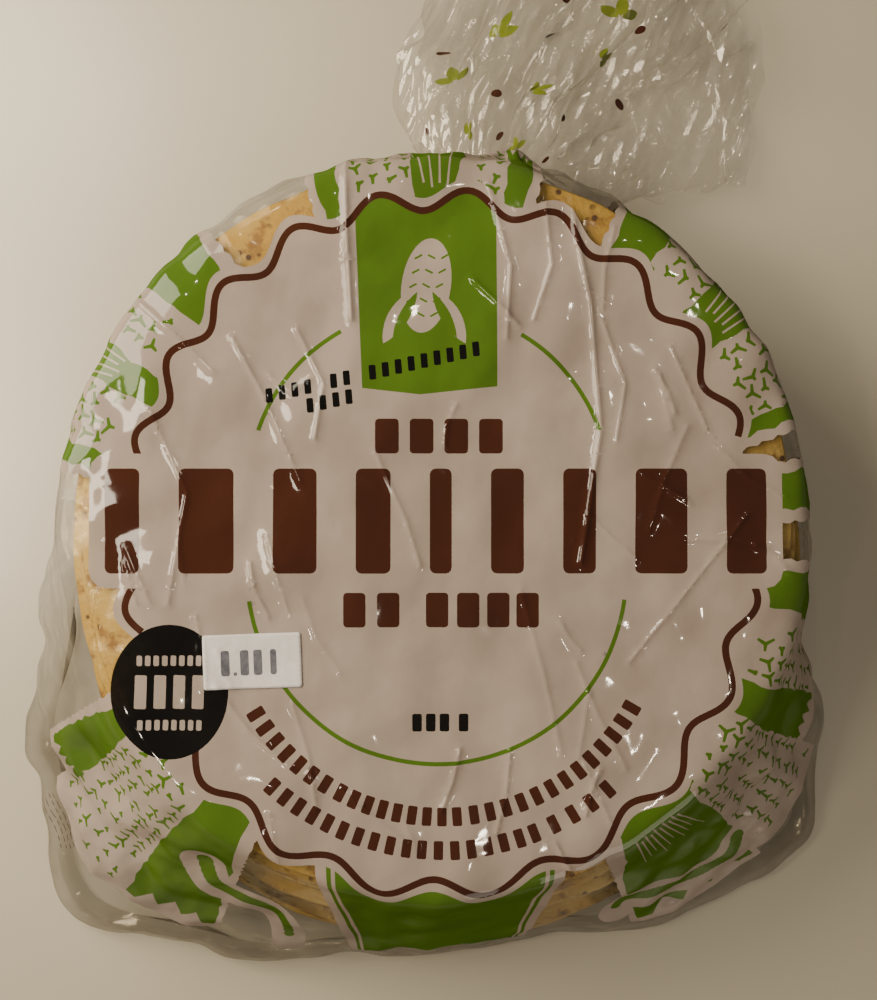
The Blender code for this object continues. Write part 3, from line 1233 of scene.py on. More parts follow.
@dataclass
class BagBody:
    """The film body: one section for each bearing, from the top's middle to the underside's.

    Sizes are in metres. Each section is a cubic B-spline whose control points follow the
    stack's rim and the film's own furthest reach, and it is measured off by length, so
    that the flat sheet keeps its size where it is draped.
    """

    stack_half: Place = (0.0812, 0.0805)
    lean: float = 0.0035
    top: float = 0.0600
    slack: float = 0.0022
    shoulder_drop: float = 0.0022
    base_share: float = 1.07
    ear_edge: float = 0.0025
    ear_sag: float = 0.005
    ear_start: float = 0.1045
    ear_spread: float = 0.020
    tall_rim: float = 0.028
    tuck_share: float = 0.3
    bearings: int = 720
    samples: int = 420
    seam_share: float = 0.72
    rim: tuple[tuple[float, float, float], ...] = (
        (0, 0.0872, 0.033),
        (30, 0.0875, 0.038),
        (60, 0.0893, 0.044),
        (90, 0.0893, 0.046),
        (120, 0.0898, 0.045),
        (150, 0.0880, 0.039),
        (176, 0.0900, 0.028),
        (192, 0.1005, 0.014),
        (209, 0.1178, 0.007),
        (226, 0.1345, 0.005),
        (241, 0.1205, 0.004),
        (262, 0.1070, 0.004),
        (284, 0.1045, 0.004),
        (304, 0.1158, 0.004),
        (321, 0.1232, 0.005),
        (334, 0.1095, 0.010),
        (347, 0.0915, 0.024),
    )
    neck_bearing: float = 78.5
    neck_height: float = 0.024
    creases: tuple[Crease, ...] = (
        Crease(((-19.5, 88), (-19.0, 68), (-18.0, 50)), 0.9, 0.7),
        Crease(((30, 82), (31, 70), (34.4, 54), (36.6, 26), (32.3, -3)), 0.7, 0.7),
        Crease(((68.5, 7), (43, -25)), 0.35, 0.5),
        Crease(((-12.7, 21), (-6, 6), (-2.9, -4)), 0.4, 0.6),
        Crease(((19, -9), (24, -27), (28, -45)), 0.3, 0.7),
        Crease(((-44, 46), (-37, 33), (-29, 14)), 0.45, 0.55),
        Crease(((-30, 48), (-24, 36), (-26, 24)), 0.45, 0.55),
        Crease(((-36, 38), (-31, 34), (-27, 37)), 0.4, 0.5),
        Crease(((37, 50), (42, 36), (40, 24)), 0.4, 0.55),
        Crease(((12, 80), (17, 62), (16, 46)), 0.45, 0.6),
        Crease(((24, 80), (26, 62), (22, 50)), 0.4, 0.55),
        Crease(((-62, 30), (-54, 12), (-58, -12)), 0.35, 0.6),
        Crease(((52, 44), (60, 26)), 0.35, 0.5),
    )
    loose_creases: int = 34

    def __post_init__(self) -> None:
        """Work out the table of sections, measured off by length."""
        self.creases = (*self.creases, *self._handling())
        self.angles = np.linspace(0, TAU, self.bearings, endpoint=False)
        section = self._spline(self._controls())
        gaps = np.linalg.norm(np.diff(section, axis=0), axis=-1)
        run = np.concatenate([np.zeros((1, self.bearings)), np.cumsum(gaps, axis=0)])
        self.total = run[-1]
        seam = int(self.seam_share * (len(section) - 1))
        self.length = run[seam]
        self.table = self._even(section, run, 0, seam)
        self.under = self._even(section, run, seam, len(section) - 1)

    def _handling(self) -> Iterator[Crease]:
        """Short creases from handling, scattered over the face and leaning to its foot.

        Yields:
            The creases, in the order of their random draws.
        """
        draw = np.random.default_rng(17)
        for _ in range(self.loose_creases):
            reach, bearing = 78 * draw.uniform(0.1, 1) ** 0.5, draw.uniform(0, 360)
            middle = polar(np.array([bearing]), np.array([reach]))[0]
            half, lean = draw.uniform(4, 13), draw.normal(-68, 24)
            bow = draw.uniform(-0.16, 0.16) * half
            path = turned(np.array([(-half, 0), (0, bow), (half, 0)]), lean, tuple(middle))
            points = tuple((float(x), float(y)) for x, y in path)
            yield Crease(points, draw.uniform(0.18, 0.6), draw.uniform(0.45, 0.75))

    def _controls(self) -> Array:
        """Control points of all the sections, from above the top's middle to past the bottom's.

        Returns:
            Radius and height at (level, bearing).
        """
        degrees = np.degrees(self.angles)
        stations = np.array([*self.rim, (360, *self.rim[0][1:])])
        place = np.clip(np.searchsorted(stations[:, 0], degrees, "right") - 1, 0, len(self.rim) - 1)
        share = (degrees - stations[place, 0]) / (stations[place + 1, 0] - stations[place, 0])
        share = (share * share * (3 - 2 * share))[:, None]
        reach, height = (stations[place, 1:] * (1 - share) + stations[place + 1, 1:] * share).T
        stack = 1 / np.hypot(
            np.cos(self.angles) / self.stack_half[0], np.sin(self.angles) / self.stack_half[1]
        )
        stack = stack + self.lean * np.sin(self.angles)
        flat = 1 - np.minimum(1.0, height / self.tall_rim)
        base = stack * self.base_share
        base = base + flat * (reach - self.ear_edge - base)
        shoulder = stack + self.slack
        drop = self.top - self.shoulder_drop
        sag = self.ear_sag * np.clip((reach - self.ear_start) / self.ear_spread, 0, 1)
        level = np.full_like(stack, self.top)
        ground = np.zeros_like(stack)
        rows = (
            (-0.36 * stack, level),
            (ground, level),
            (0.36 * stack, level),
            (0.78 * stack, level),
            (0.985 * stack, level),
            (shoulder, ground + drop),
            (shoulder * 0.9 + reach * 0.1, drop * 0.86 + height * 0.14),
            ((shoulder + reach - sag) / 2, (drop + height - sag) / 2),
            (reach + 0.0008, height),
            (reach + (base - reach) * self.tuck_share, height * self.tuck_share),
            (base, ground),
            (0.9 * base, ground),
            (0.45 * base, ground),
            (ground, ground),
            (-0.45 * base, ground),
        )
        return np.array([np.stack(row, -1) for row in rows])

    def _spline(self, controls: Array) -> Array:
        """Uniform cubic B-splines along the control levels, sampled evenly.

        Args:
            controls: Radius and height at (level, bearing).

        Returns:
            Radius and height at (sample, bearing).
        """
        spans = len(controls) - 3
        place = np.linspace(0, spans, self.samples)
        first = np.minimum(place.astype(int), spans - 1)
        t = (place - first)[:, None, None]
        weights = (
            (1 - t) ** 3 / 6,
            (3 * t**3 - 6 * t**2 + 4) / 6,
            (-3 * t**3 + 3 * t**2 + 3 * t + 1) / 6,
            t**3 / 6,
        )
        return sum(weight * controls[first + step] for step, weight in enumerate(weights))

    def _even(self, section: Array, run: Array, start: int, end: int) -> Array:
        """The stretch of each section between two samples, with even steps of length.

        Args:
            section: Radius and height at (sample, bearing).
            run: Length from the top's middle at (sample, bearing).
            start: The stretch's first sample.
            end: Its last sample.

        Returns:
            Radius and height at (even step, bearing). All bearings are read from one
            rising list, in which each starts where the last could not reach.
        """
        part, far = run[start : end + 1], 10.0 * np.arange(self.bearings)
        share = np.linspace(0, 1, self.samples)[:, None]
        wanted = part[0] + share * (part[-1] - part[0]) + far
        known = (part + far).T.ravel()
        read = [
            np.interp(wanted.T.ravel(), known, section[start : end + 1, :, axis].T.ravel())
            for axis in (0, 1)
        ]
        return np.stack(read, -1).reshape(self.bearings, self.samples, 2).transpose(1, 0, 2)

    def _read(self, table: Array, share: Array, turn: Array) -> Array:
        """Radius and height at shares of a section's length, between the table's entries.

        Args:
            table: Radius and height at (even step, bearing).
            share: Shares of the length.
            turn: Bearings, in radians.

        Returns:
            Radius and height, weighted by how near the four entries round each place are.
        """
        rows = np.clip(share, 0, 1) * (self.samples - 1)
        row = np.minimum(rows.astype(int), self.samples - 2)
        columns = (turn / TAU * self.bearings) % self.bearings
        column = columns.astype(int) % self.bearings
        beside = (column + 1) % self.bearings
        down, across = (rows - row)[..., None], (columns - np.floor(columns))[..., None]
        near = table[row, column] * (1 - across) + table[row, beside] * across
        far = table[row + 1, column] * (1 - across) + table[row + 1, beside] * across
        return near * (1 - down) + far * down

    def reach(self, turn: Array) -> Array:
        """The flat sheet's size.

        Args:
            turn: Bearings, in radians.

        Returns:
            Its edge's distance from the middle at each bearing, in metres.
        """
        columns = (turn / TAU * self.bearings) % self.bearings
        column = columns.astype(int) % self.bearings
        across = columns - np.floor(columns)
        beside = (column + 1) % self.bearings
        return self.length[column] * (1 - across) + self.length[beside] * across

    def _base(self, x: Array, y: Array) -> Array:
        """Points of the smooth film for places on the flat sheet.

        Args:
            x: Places across the sheet, in metres.
            y: Places along it.

        Returns:
            Places in metres, one row for each point.
        """
        turn = np.arctan2(y, x) % TAU
        radius, height = np.moveaxis(
            self._read(self.table, np.hypot(x, y) / self.reach(turn), turn), -1, 0
        )
        return np.stack([radius * np.cos(turn), radius * np.sin(turn), height], -1)

    def drape(self, x: Array, y: Array, lift: float = 0.0) -> Array:
        """Points of the wrinkled film for places on the flat sheet.

        The smooth film's normal comes from its slopes, and the wrinkles' height is
        measured along it.

        Args:
            x: Places across the sheet, in metres.
            y: Places along the sheet, in metres.
            lift: How far above the film the points lie, in metres.

        Returns:
            Places in metres, one row for each point.
        """
        step = 0.0004
        base = self._base(x, y)
        across = self._base(x + step, y) - self._base(x - step, y)
        along = self._base(x, y + step) - self._base(x, y - step)
        normal = np.cross(across, along)
        normal /= np.maximum(np.linalg.norm(normal, axis=-1, keepdims=True), 1e-12)
        height = self._wrinkles(x / MM, y / MM) * MM + lift
        points = base + normal * height[..., None]
        points[..., 2] = np.maximum(points[..., 2], 0.0002)
        return points

    def _wrinkles(self, x: Array, y: Array) -> Array:
        """Height of all the wrinkles, in millimetres, at places in millimetres.

        The face has long soft waves and its named creases. Past the shoulder come folds
        that run down the side. The ears are crushed, and folds gather at the neck.

        Args:
            x: Places across the flat sheet.
            y: Places along it.

        Returns:
            The height at each place.
        """
        turn = np.arctan2(y, x)
        reach = np.hypot(x, y)
        side = smooth(reach, 70, 96)
        degrees = np.degrees(turn) % 360
        ear = np.exp(-(((degrees - 222) / 26) ** 2)) + np.exp(-(((degrees - 322) / 24) ** 2))
        ear = ear * smooth(reach, 84, 104)
        face = 0.75 * Crumple(5, 9, 14, 60, 0.985).height(x, y)
        for crease in self.creases:
            face = face + crease.ridge(x, y)
        pleats = fold(34 * turn / TAU + 0.35 * fold(11 * turn / TAU) + 0.004 * reach)
        broken = Crumple(9, 8, 7, 22).height(x, y)
        sides = side * (0.3 * pleats + 0.45 * broken)
        share = reach * MM / self.reach(turn % TAU)
        ears = ear * 1.3 * Crumple(21, 8, 13, 48, 0.985).height(x, y)
        ears, sides = (wave * (1 - 0.75 * smooth(share, 0.86, 1.0)) for wave in (ears, sides))
        return np.maximum(face * (1 - 0.5 * side), -0.8) + sides + ears + self._neck(x, y)

    def _neck(self, x: Array, y: Array) -> Array:
        """Folds that gather at the neck, and the film drawn out towards it.

        Args:
            x: Places across the flat sheet, in millimetres.
            y: Places along it.

        Returns:
            A bell over the neck, and a wave round it that fades with distance.
        """
        centre = self.neck_place()
        off_x, off_y = x - centre[0], y - centre[1]
        gap = np.hypot(off_x, off_y)
        turn = np.arctan2(off_y, off_x)
        gathers = fold(17 * turn / TAU + 0.3 * fold(5 * turn / TAU)) * smooth(gap, 3, 14)
        return 7.5 * np.exp(-((gap / 12) ** 2)) + 1.1 * gathers * np.exp(-gap / 30)

    def neck_place(self) -> Place:
        """Where the neck sits on the flat sheet, in millimetres."""
        column = int(self.neck_bearing / 360 * self.bearings)
        rows = self.table[:, column, 1]
        row = len(rows) - 1 - int(np.argmin(np.abs(rows[::-1] - self.neck_height)))
        reach = self.length[column] * row / (self.samples - 1) / MM
        turn = math.radians(self.neck_bearing)
        return reach * math.cos(turn), reach * math.sin(turn)

    def face_film(self, design: FacePrint, spacing: float = 1.15) -> bpy.types.Object:
        """The printed film over the stack's top and sides.

        Args:
            design: What is printed on it.
            spacing: The mesh's pitch, in millimetres.

        Returns:
            The piece, with one material for each ink.
        """
        turns = self.angles
        edge = np.stack([np.cos(turns), np.sin(turns)], 1) * self.length[:, None] / MM

        def inside(points: Array) -> Array:
            """Which points are at least half a pitch within the sheet's edge."""
            gap = self.reach(np.arctan2(points[:, 1], points[:, 0]) % TAU) / MM
            return np.hypot(points[:, 0], points[:, 1]) < gap - spacing / 2

        creases = np.concatenate([crease.rows() for crease in self.creases])
        sheet = FlatSheet.cut(edge, inside, design.patches(), spacing, creases)
        points = self.drape(sheet.points[:, 0] * MM, sheet.points[:, 1] * MM)
        return make_piece("printed_film", points, [sheet.triangles], FilmInks().make(), sheet.inks)

    def under_film(self, rings: int = 46) -> bpy.types.Object:
        """The plain film under the stack: rings from the seam in to the middle.

        Args:
            rings: How many rings there are, with the middle as the last.

        Returns:
            The piece.
        """
        share = np.linspace(0, 1, rings)[:, None] * np.ones(self.bearings)
        turn = np.ones((rings, 1)) * self.angles
        radius, height = np.moveaxis(self._read(self.under, share, turn), -1, 0)
        points = np.stack([radius * np.cos(turn), radius * np.sin(turn), height], -1)
        edge = self.drape(np.cos(self.angles) * self.length, np.sin(self.angles) * self.length)
        fade = (1 - smooth(share, 0.0, 0.14))[..., None]
        points = points + (edge - points[0]) * fade
        crinkle = Crumple(31, 8, 0.01, 0.04).height(points[..., 0], points[..., 1])
        points[..., 2] += 0.0003 * (1 + crinkle) * (1 - fade[..., 0])
        points[..., 2] = np.maximum(points[..., 2], 0.0002)
        flat = points[:-1].reshape(-1, 3)
        pole = np.array([[0.0, 0.0, 0.0004]])
        last = (rings - 2) * self.bearings + np.arange(self.bearings)
        fan = np.stack([last, np.full(self.bearings, len(flat)), np.roll(last, -1)], 1)
        faces = [grid_faces(rings - 1, self.bearings), fan]
        finish = ClearFilm("underside_film", 0.12, 0.1, 0.3, double_and_shade=0.06, edge_on=0.1).make()
        return make_piece("film_underside", np.concatenate([flat, pole]), faces, [finish])


@dataclass
class BagTail:
    """The gathered neck and the loose crumpled tail: an upper and a lower sheet of film.

    Sizes are in metres. A place on a sheet is a share across, from left to right, and a
    share along, from the neck to the mouth.
    """

    left: tuple[Place, ...] = ((0.004, 0.084), (-0.028, 0.112), (0.018, 0.158))
    right: tuple[Place, ...] = ((0.028, 0.081), (0.050, 0.083), (0.080, 0.093))
    bulge: float = 0.033
    top_left: Place = (0.036, 0.020)
    top_right: Place = (0.030, 0.010)
    floor: float = 0.0010
    neck: tuple[float, float, float] = (0.016, 0.0865, 0.024)
    neck_radius: float = 0.0085
    flat_size: Place = (112.0, 92.0)
    hem: float = 8.0
    creases: tuple[Crease, ...] = (
        Crease(((62, 30), (70, 58), (68, 84)), 1.4, 0.9),
        Crease(((84, 26), (90, 60), (98, 83)), 1.2, 0.9),
        Crease(((102, 34), (104, 83)), 0.9, 0.8),
        Crease(((70, 58), (98, 66)), 0.8, 0.9),
    )
    spacing: float = 0.72
    edge_points: tuple[int, int] = (141, 121)
    seed: int = 4

    def plan(self, across: Array, along: Array) -> tuple[Array, Array]:
        """Where the tail lies from above: between two side curves, bulged to the mouth.

        Args:
            across: Share across the sheet.
            along: Share along it.

        Returns:
            The two coordinates, each a blend of the quadratic curves of the two sides.
        """
        sides = []
        for a, b, c in (self.left, self.right):
            weights = ((1 - along) ** 2, 2 * along * (1 - along), along**2)
            sides.append([sum(w * p[axis] for w, p in zip(weights, (a, b, c))) for axis in (0, 1)])
        bulge = self.bulge * along * np.sin(math.pi * across) * math.sqrt(0.5)
        x = sides[0][0] * (1 - across) + sides[1][0] * across + bulge
        y = sides[0][1] * (1 - across) + sides[1][1] * across + bulge
        return x, y

    def drape(self, across: Array, along: Array, upper: bool) -> Array:
        """Points of a sheet of the tail.

        The sheet's plan is folded over on itself along lines that run out from the neck.
        Its height is the tail's hollow form with pleats and crushed film on it.

        Args:
            across: Share across the sheet.
            along: Share along it.
            upper: Whether it is the upper sheet.

        Returns:
            Places in metres, one row for each point.
        """
        side = 1.0 if upper else -1.0
        loose = smooth(along, 0.05, 0.5)
        edge = np.sin(math.pi * across)
        phase = 5.5 * across + 0.9 * along * (1 if upper else -1) + (0.0 if upper else 0.37)
        folded = across + loose * edge * 0.034 * np.sin(TAU * phase)
        x, y = self.plan(folded, along)
        top = (self.top_left[0] + (self.top_left[1] - self.top_left[0]) * along) * (1 - across)
        top = top + (self.top_right[0] + (self.top_right[1] - self.top_right[0]) * along) * across
        lift = np.maximum(0.0, 1 - along / 0.35)
        floor = self.floor + lift * (self.neck[2] - self.neck_radius)
        middle, half = (top + floor) / 2, (top - floor) / 2 * np.sin(math.pi * across) ** 0.55
        z = middle + side * half
        wide, long = across * self.flat_size[0], along * self.flat_size[1]
        shift = 0.0 if upper else 40.0
        crisp = 1.0 - 0.75 * smooth(across, 0.3, 0.75)
        streak = fold(27 * across + 0.25 * fold(1.7 * along + 2 * across) + shift, 0.985)
        break_up = 0.6 + 0.4 * fold(2.3 * along + 6 * across + shift)
        fine = fold(61 * across + 0.4 * fold(3.1 * along + 5 * across) + shift)
        panels = Crumple(self.seed, 7, 26, 80, 0.99).height(wide + shift, long)
        crushed = Crumple(self.seed + 1, 10, 4, 14, 0.985).height(wide + shift, 0.55 * long)
        rough = (0.75 * streak * break_up + 0.2 * fine) * crisp * (0.45 + 0.55 * loose)
        rough = rough + loose * (1.7 * panels + 0.3 * crushed * crisp + 1.2 * np.cos(TAU * phase))
        for crease in self.creases:
            rough = rough + crease.ridge(wide, long) * side
        hem = np.exp(-(((1 - along) * self.flat_size[1] - self.hem) ** 2) / 1.2)
        z = z + (rough * edge**0.5 + 0.8 * hem) * MM
        wobble = Crumple(self.seed + 7, 7, 12, 40)
        x = x + 2.0 * MM * loose * wobble.height(wide + shift, long)
        y = y + 2.0 * MM * loose * wobble.height(long, wide + shift)
        points = np.stack([x, y, z], -1)
        return self._gathered(points, across, along, side)

    def _gathered(self, points: Array, across: Array, along: Array, side: float) -> Array:
        """The sheet drawn into a round neck at its start, fluted by its gathers.

        Args:
            points: The sheet's points before that.
            across: Share across the sheet.
            along: Share along it.
            side: 1 for the upper sheet and -1 for the lower.

        Returns:
            The moved points, kept just above the ground.
        """
        share = smooth(along, 0.0, 0.26)[..., None]
        turn = math.pi * (1 - across) * side
        flute = 1 + 0.16 * fold(9 * across)
        radius = self.neck_radius * flute
        ring = np.stack(
            [
                self.neck[0] + radius * np.cos(turn),
                np.full_like(across, self.neck[1]) + 0.02 * (along - 0.15),
                self.neck[2] + radius * np.sin(turn),
            ],
            -1,
        )
        points = ring * (1 - share) + points * share
        points[..., 2] = np.maximum(points[..., 2], 0.0004)
        return points

    def _sprigs(self, upper: bool) -> Iterator[Patch]:
        """Three-leaved sprigs and brown dots, in staggered rows along the sheet.

        Args:
            upper: Whether they are for the upper sheet.

        Yields:
            One patch for each dot or leaf.
        """
        draw = np.random.default_rng(self.seed + upper)
        wide, long = self.flat_size
        for row, reach in enumerate(np.arange(22.0, long - 6, 15.0)):
            for column, place in enumerate(np.arange(9.0 + 8 * (row % 2), 0.66 * wide, 16.0)):
                centre = (place + draw.uniform(-2, 2), reach + draw.uniform(-2.5, 2.5))
                if (row + column + upper) % 2:
                    yield Patch(Ink.BROWN, oval(centre, (1.15, 1.25)))
                    continue
                heading = 90 + draw.uniform(-35, 35)
                for turn, length in ((-52, 3.4), (0, 4.2), (52, 3.4)):
                    aim = math.radians(heading + turn)
                    middle = (
                        centre[0] + 0.62 * length * math.cos(aim),
                        centre[1] + 0.62 * length * math.sin(aim),
                    )
                    yield Patch(Ink.GREEN, leaf(middle, length, 2.0, heading + turn))

    def film(self) -> bpy.types.Object:
        """Both sheets, joined along their sides and open at the mouth.

        Returns:
            The piece, with the same inks as the bag's face.
        """
        wide, long = self.flat_size
        across = np.linspace(0, wide, self.edge_points[0])
        along = np.linspace(0, long, self.edge_points[1])
        sides = (
            (across, 0.0 * across),
            (np.full_like(along[1:], wide), along[1:]),
            (across[-2::-1], np.full_like(across[1:], long)),
            (0.0 * along[1:-1], along[-2:0:-1]),
        )
        edge = np.concatenate([np.stack(side, 1) for side in sides])

        def inside(points: Array) -> Array:
            """Which points are at least half a pitch within the sheet's four sides."""
            margin = self.spacing / 2
            low = np.all(points > margin, axis=1)
            return low & (points[:, 0] < wide - margin) & (points[:, 1] < long - margin)

        points, faces, inks, count = [], [], [], 0
        for upper in (True, False):
            sprigs = list(self._sprigs(upper)) if upper else []
            sheet = FlatSheet.cut(edge, inside, sprigs, self.spacing)
            shares = sheet.points / self.flat_size
            points.append(self.drape(shares[:, 0], shares[:, 1], upper))
            order = sheet.triangles if upper else sheet.triangles[:, ::-1]
            faces.append(order + count)
            inks.append(sheet.inks)
            count += len(sheet.points)
        tint, heading = (0.66, 0.61, 0.54), 66.0
        clear = ClearFilm("tail_film", 0.15, 0.15, 1.0, tint, 0.0, 0.2, 330.0, 0.0017, heading, 4.0)
        sprig = PrintedFilm("sprig_ink", (0.13, 0.16, 0.01), (0.1, 0.13, 0.01), 0.95)
        finishes = FilmInks(clear=clear, green=sprig)
        return make_piece(
            "film_tail", np.concatenate(points), faces, finishes.make(), np.concatenate(inks)
        )


# ---------------------------------------------------------------------------
# The tortillas
# ---------------------------------------------------------------------------


@dataclass
class TortillaStack:
    """The loose pile of thin round tortillas inside the bag, in metres.

    Each is a disc that is a little out of round, slid a little from its neighbours and
    waved like them, so that no two touch. The pile has slid to the bag's foot in a few
    steps, each of which shows a strip of a tortilla's face.
    """

    count: int = 36
    radius: float = 0.0788
    pitch: float = 0.00158
    thickness: float = 0.00125
    columns: int = 150
    rings: int = 6
    spread: float = 0.0078
    foot_slide: float = -0.0283
    top_slide: float = 0.0026
    steps: int = 5
    length_share: float = 1.012
    first_level: float = 0.95
    wave: float = 0.0005
    curl: float = 0.00027
    seed: int = 3

    def build(self) -> bpy.types.Object:
        """All the tortillas as one mesh of closed discs.

        Each disc is a grid: rings out over its top, round its rim and back under it,
        with a pole in the middle of each side.

        Returns:
            The piece.
        """
        draw = np.random.default_rng(self.seed)
        turn = np.linspace(0, TAU, self.columns, endpoint=False)
        out = np.linspace(0.16, 1.0, self.rings) ** 0.8
        share = np.concatenate([out * 0.994, [1.0], (out * 0.994)[::-1]])
        level = np.concatenate([np.ones(self.rings), [0.0], -np.ones(self.rings)])
        points, faces = [], []
        for number in range(self.count):
            height = number / (self.count - 1)
            radius = self.radius * (1 + draw.normal(0, 0.006))
            lobes = sum(
                draw.uniform(0.002, 0.008) * np.cos(k * turn + draw.uniform(0, TAU))
                for k in (2, 3, 5)
            )
            ragged = 0.003 * fold(draw.uniform(15, 25) * turn / TAU) * fold(7 * turn / TAU)
            slide = draw.normal(0, 0.0009, 2)
            slide[0] += self.spread * (1 - height) ** 0.7 * math.sin(2.4 * number)
            slid = min(1.0, (math.floor(self.steps * height) + 1) / self.steps)
            slide[1] += self.foot_slide * (1 - slid) + self.top_slide
            reach = radius * (1 + lobes + ragged)
            x = share[:, None] * reach * np.cos(turn) + slide[0]
            y = share[:, None] * reach * np.sin(turn) * self.length_share + slide[1]
            wave = self.wave * Crumple(8, 6, 0.03, 0.09, 0.8).height(x, y) * min(1, number / 8)
            curl = smooth(share, 0.8, 1.0)[:, None] * np.sin(3 * turn + 0.35 * number)
            z = self.pitch * (number + self.first_level) + wave
            z = z + self.curl * curl * min(1, number / 4)
            z = z + level[:, None] * self.thickness / 2
            disc = np.stack([x, y, np.broadcast_to(z, x.shape)], -1).reshape(-1, 3)
            caps = np.array([disc[: self.columns].mean(0), disc[-self.columns :].mean(0)])
            first = len(points) * (len(disc) + 2)
            rows = len(share)
            faces.append(grid_faces(rows, self.columns, first))
            points.append(np.concatenate([disc, caps]))
        rim = np.arange(self.columns)
        size = len(points[0])
        fans = []
        for number in range(self.count):
            first = number * size
            top, bottom = first + size - 2, first + size - 1
            start, end = first + rim, first + size - 2 - self.columns + rim
            fans.append(np.stack([np.full(self.columns, top), start, np.roll(start, -1)], 1))
            fans.append(np.stack([np.full(self.columns, bottom), np.roll(end, -1), end], 1))
        return make_piece(
            "tortillas", np.concatenate(points), faces + fans, [ToastedCorn().make()]
        )


# ---------------------------------------------------------------------------
# The price label
# ---------------------------------------------------------------------------


@dataclass
class PriceLabel:
    """A paper sticker on the bag's face, in millimetres on the flat sheet."""

    centre: Place = (-39.7, -24.8)
    size: Place = (21.5, 12.0)
    degrees: float = 2.0
    lift: float = 0.00018
    thickness: float = 0.00012
    spacing: float = 0.6

    def build(self, body: BagBody) -> bpy.types.Object:
        """The sticker with plain grey blocks in its price's place.

        Args:
            body: The bag's film, which the sticker follows.

        Returns:
            The piece, a thin closed slab.
        """
        edge = close_spaced(block((0, 0), self.size), self.spacing)
        half = np.asarray(self.size) / 2 - self.spacing / 2

        def inside(points: Array) -> Array:
            """Which points are well within the sticker's sides."""
            return np.all(np.abs(points) < half, axis=1)

        marks = []
        for place, wide in ((-5.9, 1.9), (-1.7, 1.9), (1.2, 1.9), (4.6, 1.4)):
            marks.append(Patch(Ink.WHITE, block((place, -0.3), (wide, 5.6), 0, 0.5)))
        marks.append(Patch(Ink.WHITE, block((-3.8, -2.7), (0.8, 0.8), 0, 0.3)))
        sheet = FlatSheet.cut(edge, inside, marks, self.spacing)
        flat = turned(sheet.points, self.degrees, self.centre) * MM
        points = body.drape(flat[:, 0], flat[:, 1], self.lift)
        finishes = [
            LabelPaper("sticker_paper", (0.62, 0.59, 0.58), (0.55, 0.52, 0.51)).make(),
            LabelPaper("sticker_ink", (0.07, 0.07, 0.09), (0.13, 0.13, 0.15)).make(),
        ]
        piece = make_piece("price_sticker", points, [sheet.triangles], finishes, sheet.inks)
        slab = piece.modifiers.new("paper", "SOLIDIFY")
        slab.thickness = self.thickness
        slab.offset = 1.0
        return piece


# ---------------------------------------------------------------------------
# The studio
# ---------------------------------------------------------------------------


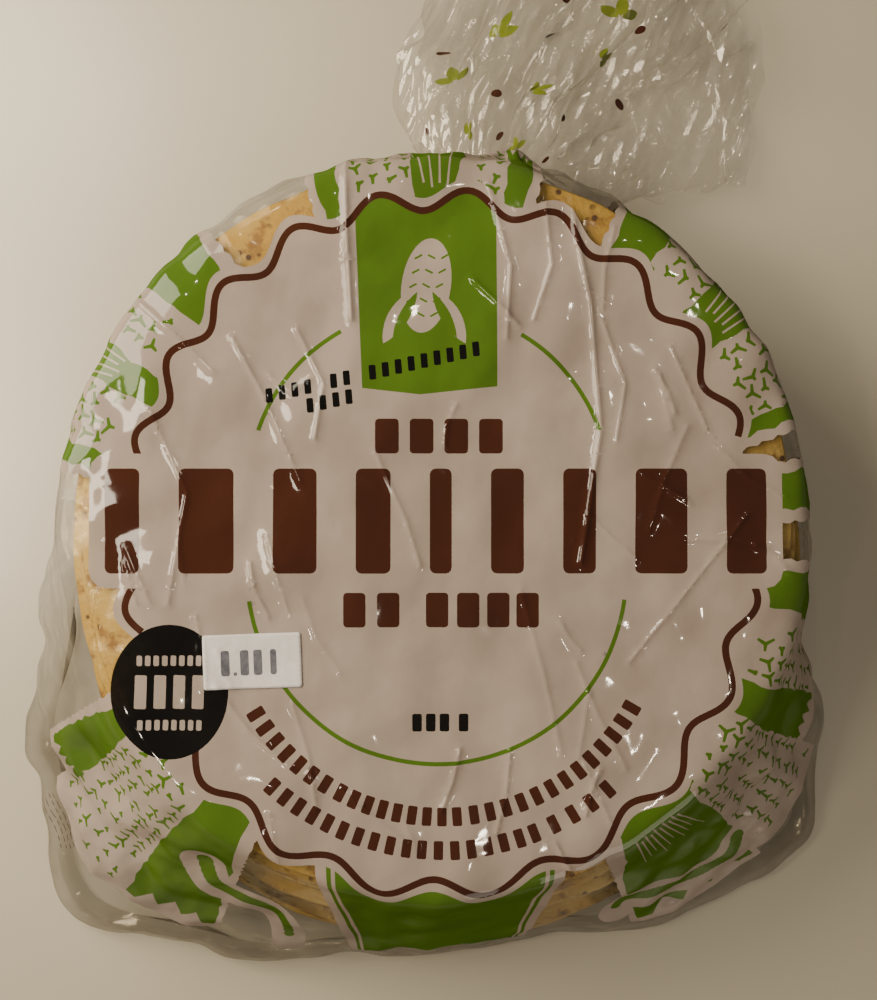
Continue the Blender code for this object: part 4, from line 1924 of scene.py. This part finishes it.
@dataclass
class Studio:
    """A pale table top, soft warm light from the upper left, and a camera straight above."""

    floor_height: float = -0.0003
    floor_half: float = 1.6
    eye: tuple[float, float, float] = (0.0011, 0.0105, 0.400)
    focal: float = 55.9
    sensor: float = 36.0
    spark_height: float = 0.8
    sparks: tuple[Place, ...] = ((-0.12, 0.36), (0.2, 0.26), (-0.3, -0.25), (0.2, -0.2))

    def table(self) -> bpy.types.Object:
        """The table top, as a grid of a few faces.

        Returns:
            The piece.
        """
        side = np.linspace(-self.floor_half, self.floor_half, 9)
        x, y = np.meshgrid(side, side)
        points = np.stack([x, y, np.full_like(x, self.floor_height)], -1).reshape(-1, 3)
        row, column = np.meshgrid(np.arange(8), np.arange(8), indexing="ij")
        here = (row * 9 + column).ravel()
        faces = np.stack([here, here + 1, here + 10, here + 9], 1)
        return make_piece("table_top", points, [faces], [TableTop().make()])

    def lamp(
        self, name: str, place: Vector, aim: Vector, size: float, watts: float, colour: Colour
    ) -> None:
        """A square area light at a place, turned to its aim.

        Args:
            name: The light's name.
            place: Where it hangs.
            aim: What it points at.
            size: The length of its sides, in metres.
            watts: Its power.
            colour: Its colour.
        """
        light = bpy.data.lights.new(name, "AREA")
        light.size, light.energy, light.color = size, watts, colour
        holder = bpy.data.objects.new(name, light)
        holder.location = place
        holder.rotation_euler = (aim - place).to_track_quat("-Z", "Y").to_euler()
        bpy.context.scene.collection.objects.link(holder)

    def camera(self) -> None:
        """The camera straight above the bag, with the tail's end past the frame's top."""
        lens = bpy.data.cameras.new("above")
        lens.sensor_width, lens.sensor_fit = self.sensor, "VERTICAL"
        lens.sensor_height = self.sensor
        lens.lens = self.focal
        holder = bpy.data.objects.new("above", lens)
        holder.location = self.eye
        bpy.context.scene.collection.objects.link(holder)
        bpy.context.scene.camera = holder

    def air(self) -> None:
        """Dim warm light from all round."""
        world = bpy.data.worlds.new("room")
        world.use_nodes = True
        background = world.node_tree.nodes["Background"]
        background.inputs["Color"].default_value = (1.0, 0.9, 0.76, 1.0)
        background.inputs["Strength"].default_value = 0.18
        bpy.context.scene.world = world

    def build(self) -> bpy.types.Object:
        """Everything round the bag.

        Returns:
            The table top.
        """
        self.air()
        bag, left, warm = Vector((0.0, 0.0, 0.03)), Vector((-0.28, 0.06, 0.0)), (1.0, 0.86, 0.67)
        self.lamp("key", Vector((-0.33, 0.03, 0.64)), bag, 0.12, 1.3, warm)
        self.lamp("window", Vector((-0.42, 0.22, 0.34)), left, 0.42, 6.8, (1.0, 0.88, 0.68))
        self.lamp("fill", Vector((0.24, -0.46, 0.19)), bag, 0.25, 0.55, (1.0, 0.88, 0.7))
        for number, (x, y) in enumerate(self.sparks):
            self.lamp(f"spark_{number}", Vector((x, y, self.spark_height)), bag, 0.018, 0.2, warm)
        self.camera()
        return self.table()


def main() -> None:
    """Build the bag, its contents, its label and the studio, and log each piece's face count."""
    logging.basicConfig(level=logging.INFO, format="%(message)s")
    body = BagBody()
    film = body.face_film(FacePrint())
    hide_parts("filled_bag")
    sticker = PriceLabel().build(body)
    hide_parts("price_label")
    pieces = {
        "bag_film": [film, body.under_film(), BagTail().film()],
        "label_paper": [sticker],
        "": [TortillaStack().build()],
    }
    for slot, members in pieces.items():
        for piece in members:
            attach(piece, BODY)
            LOG.info("%s: %d faces", piece.name, len(piece.data.polygons))
    Studio().build()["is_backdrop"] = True
    boxes = {"cad": CAD_BOX, "visual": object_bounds()}
    lists = {name: [[float(v) for v in end] for end in box] for name, box in boxes.items()}


if __name__ == "__main__":
    main()
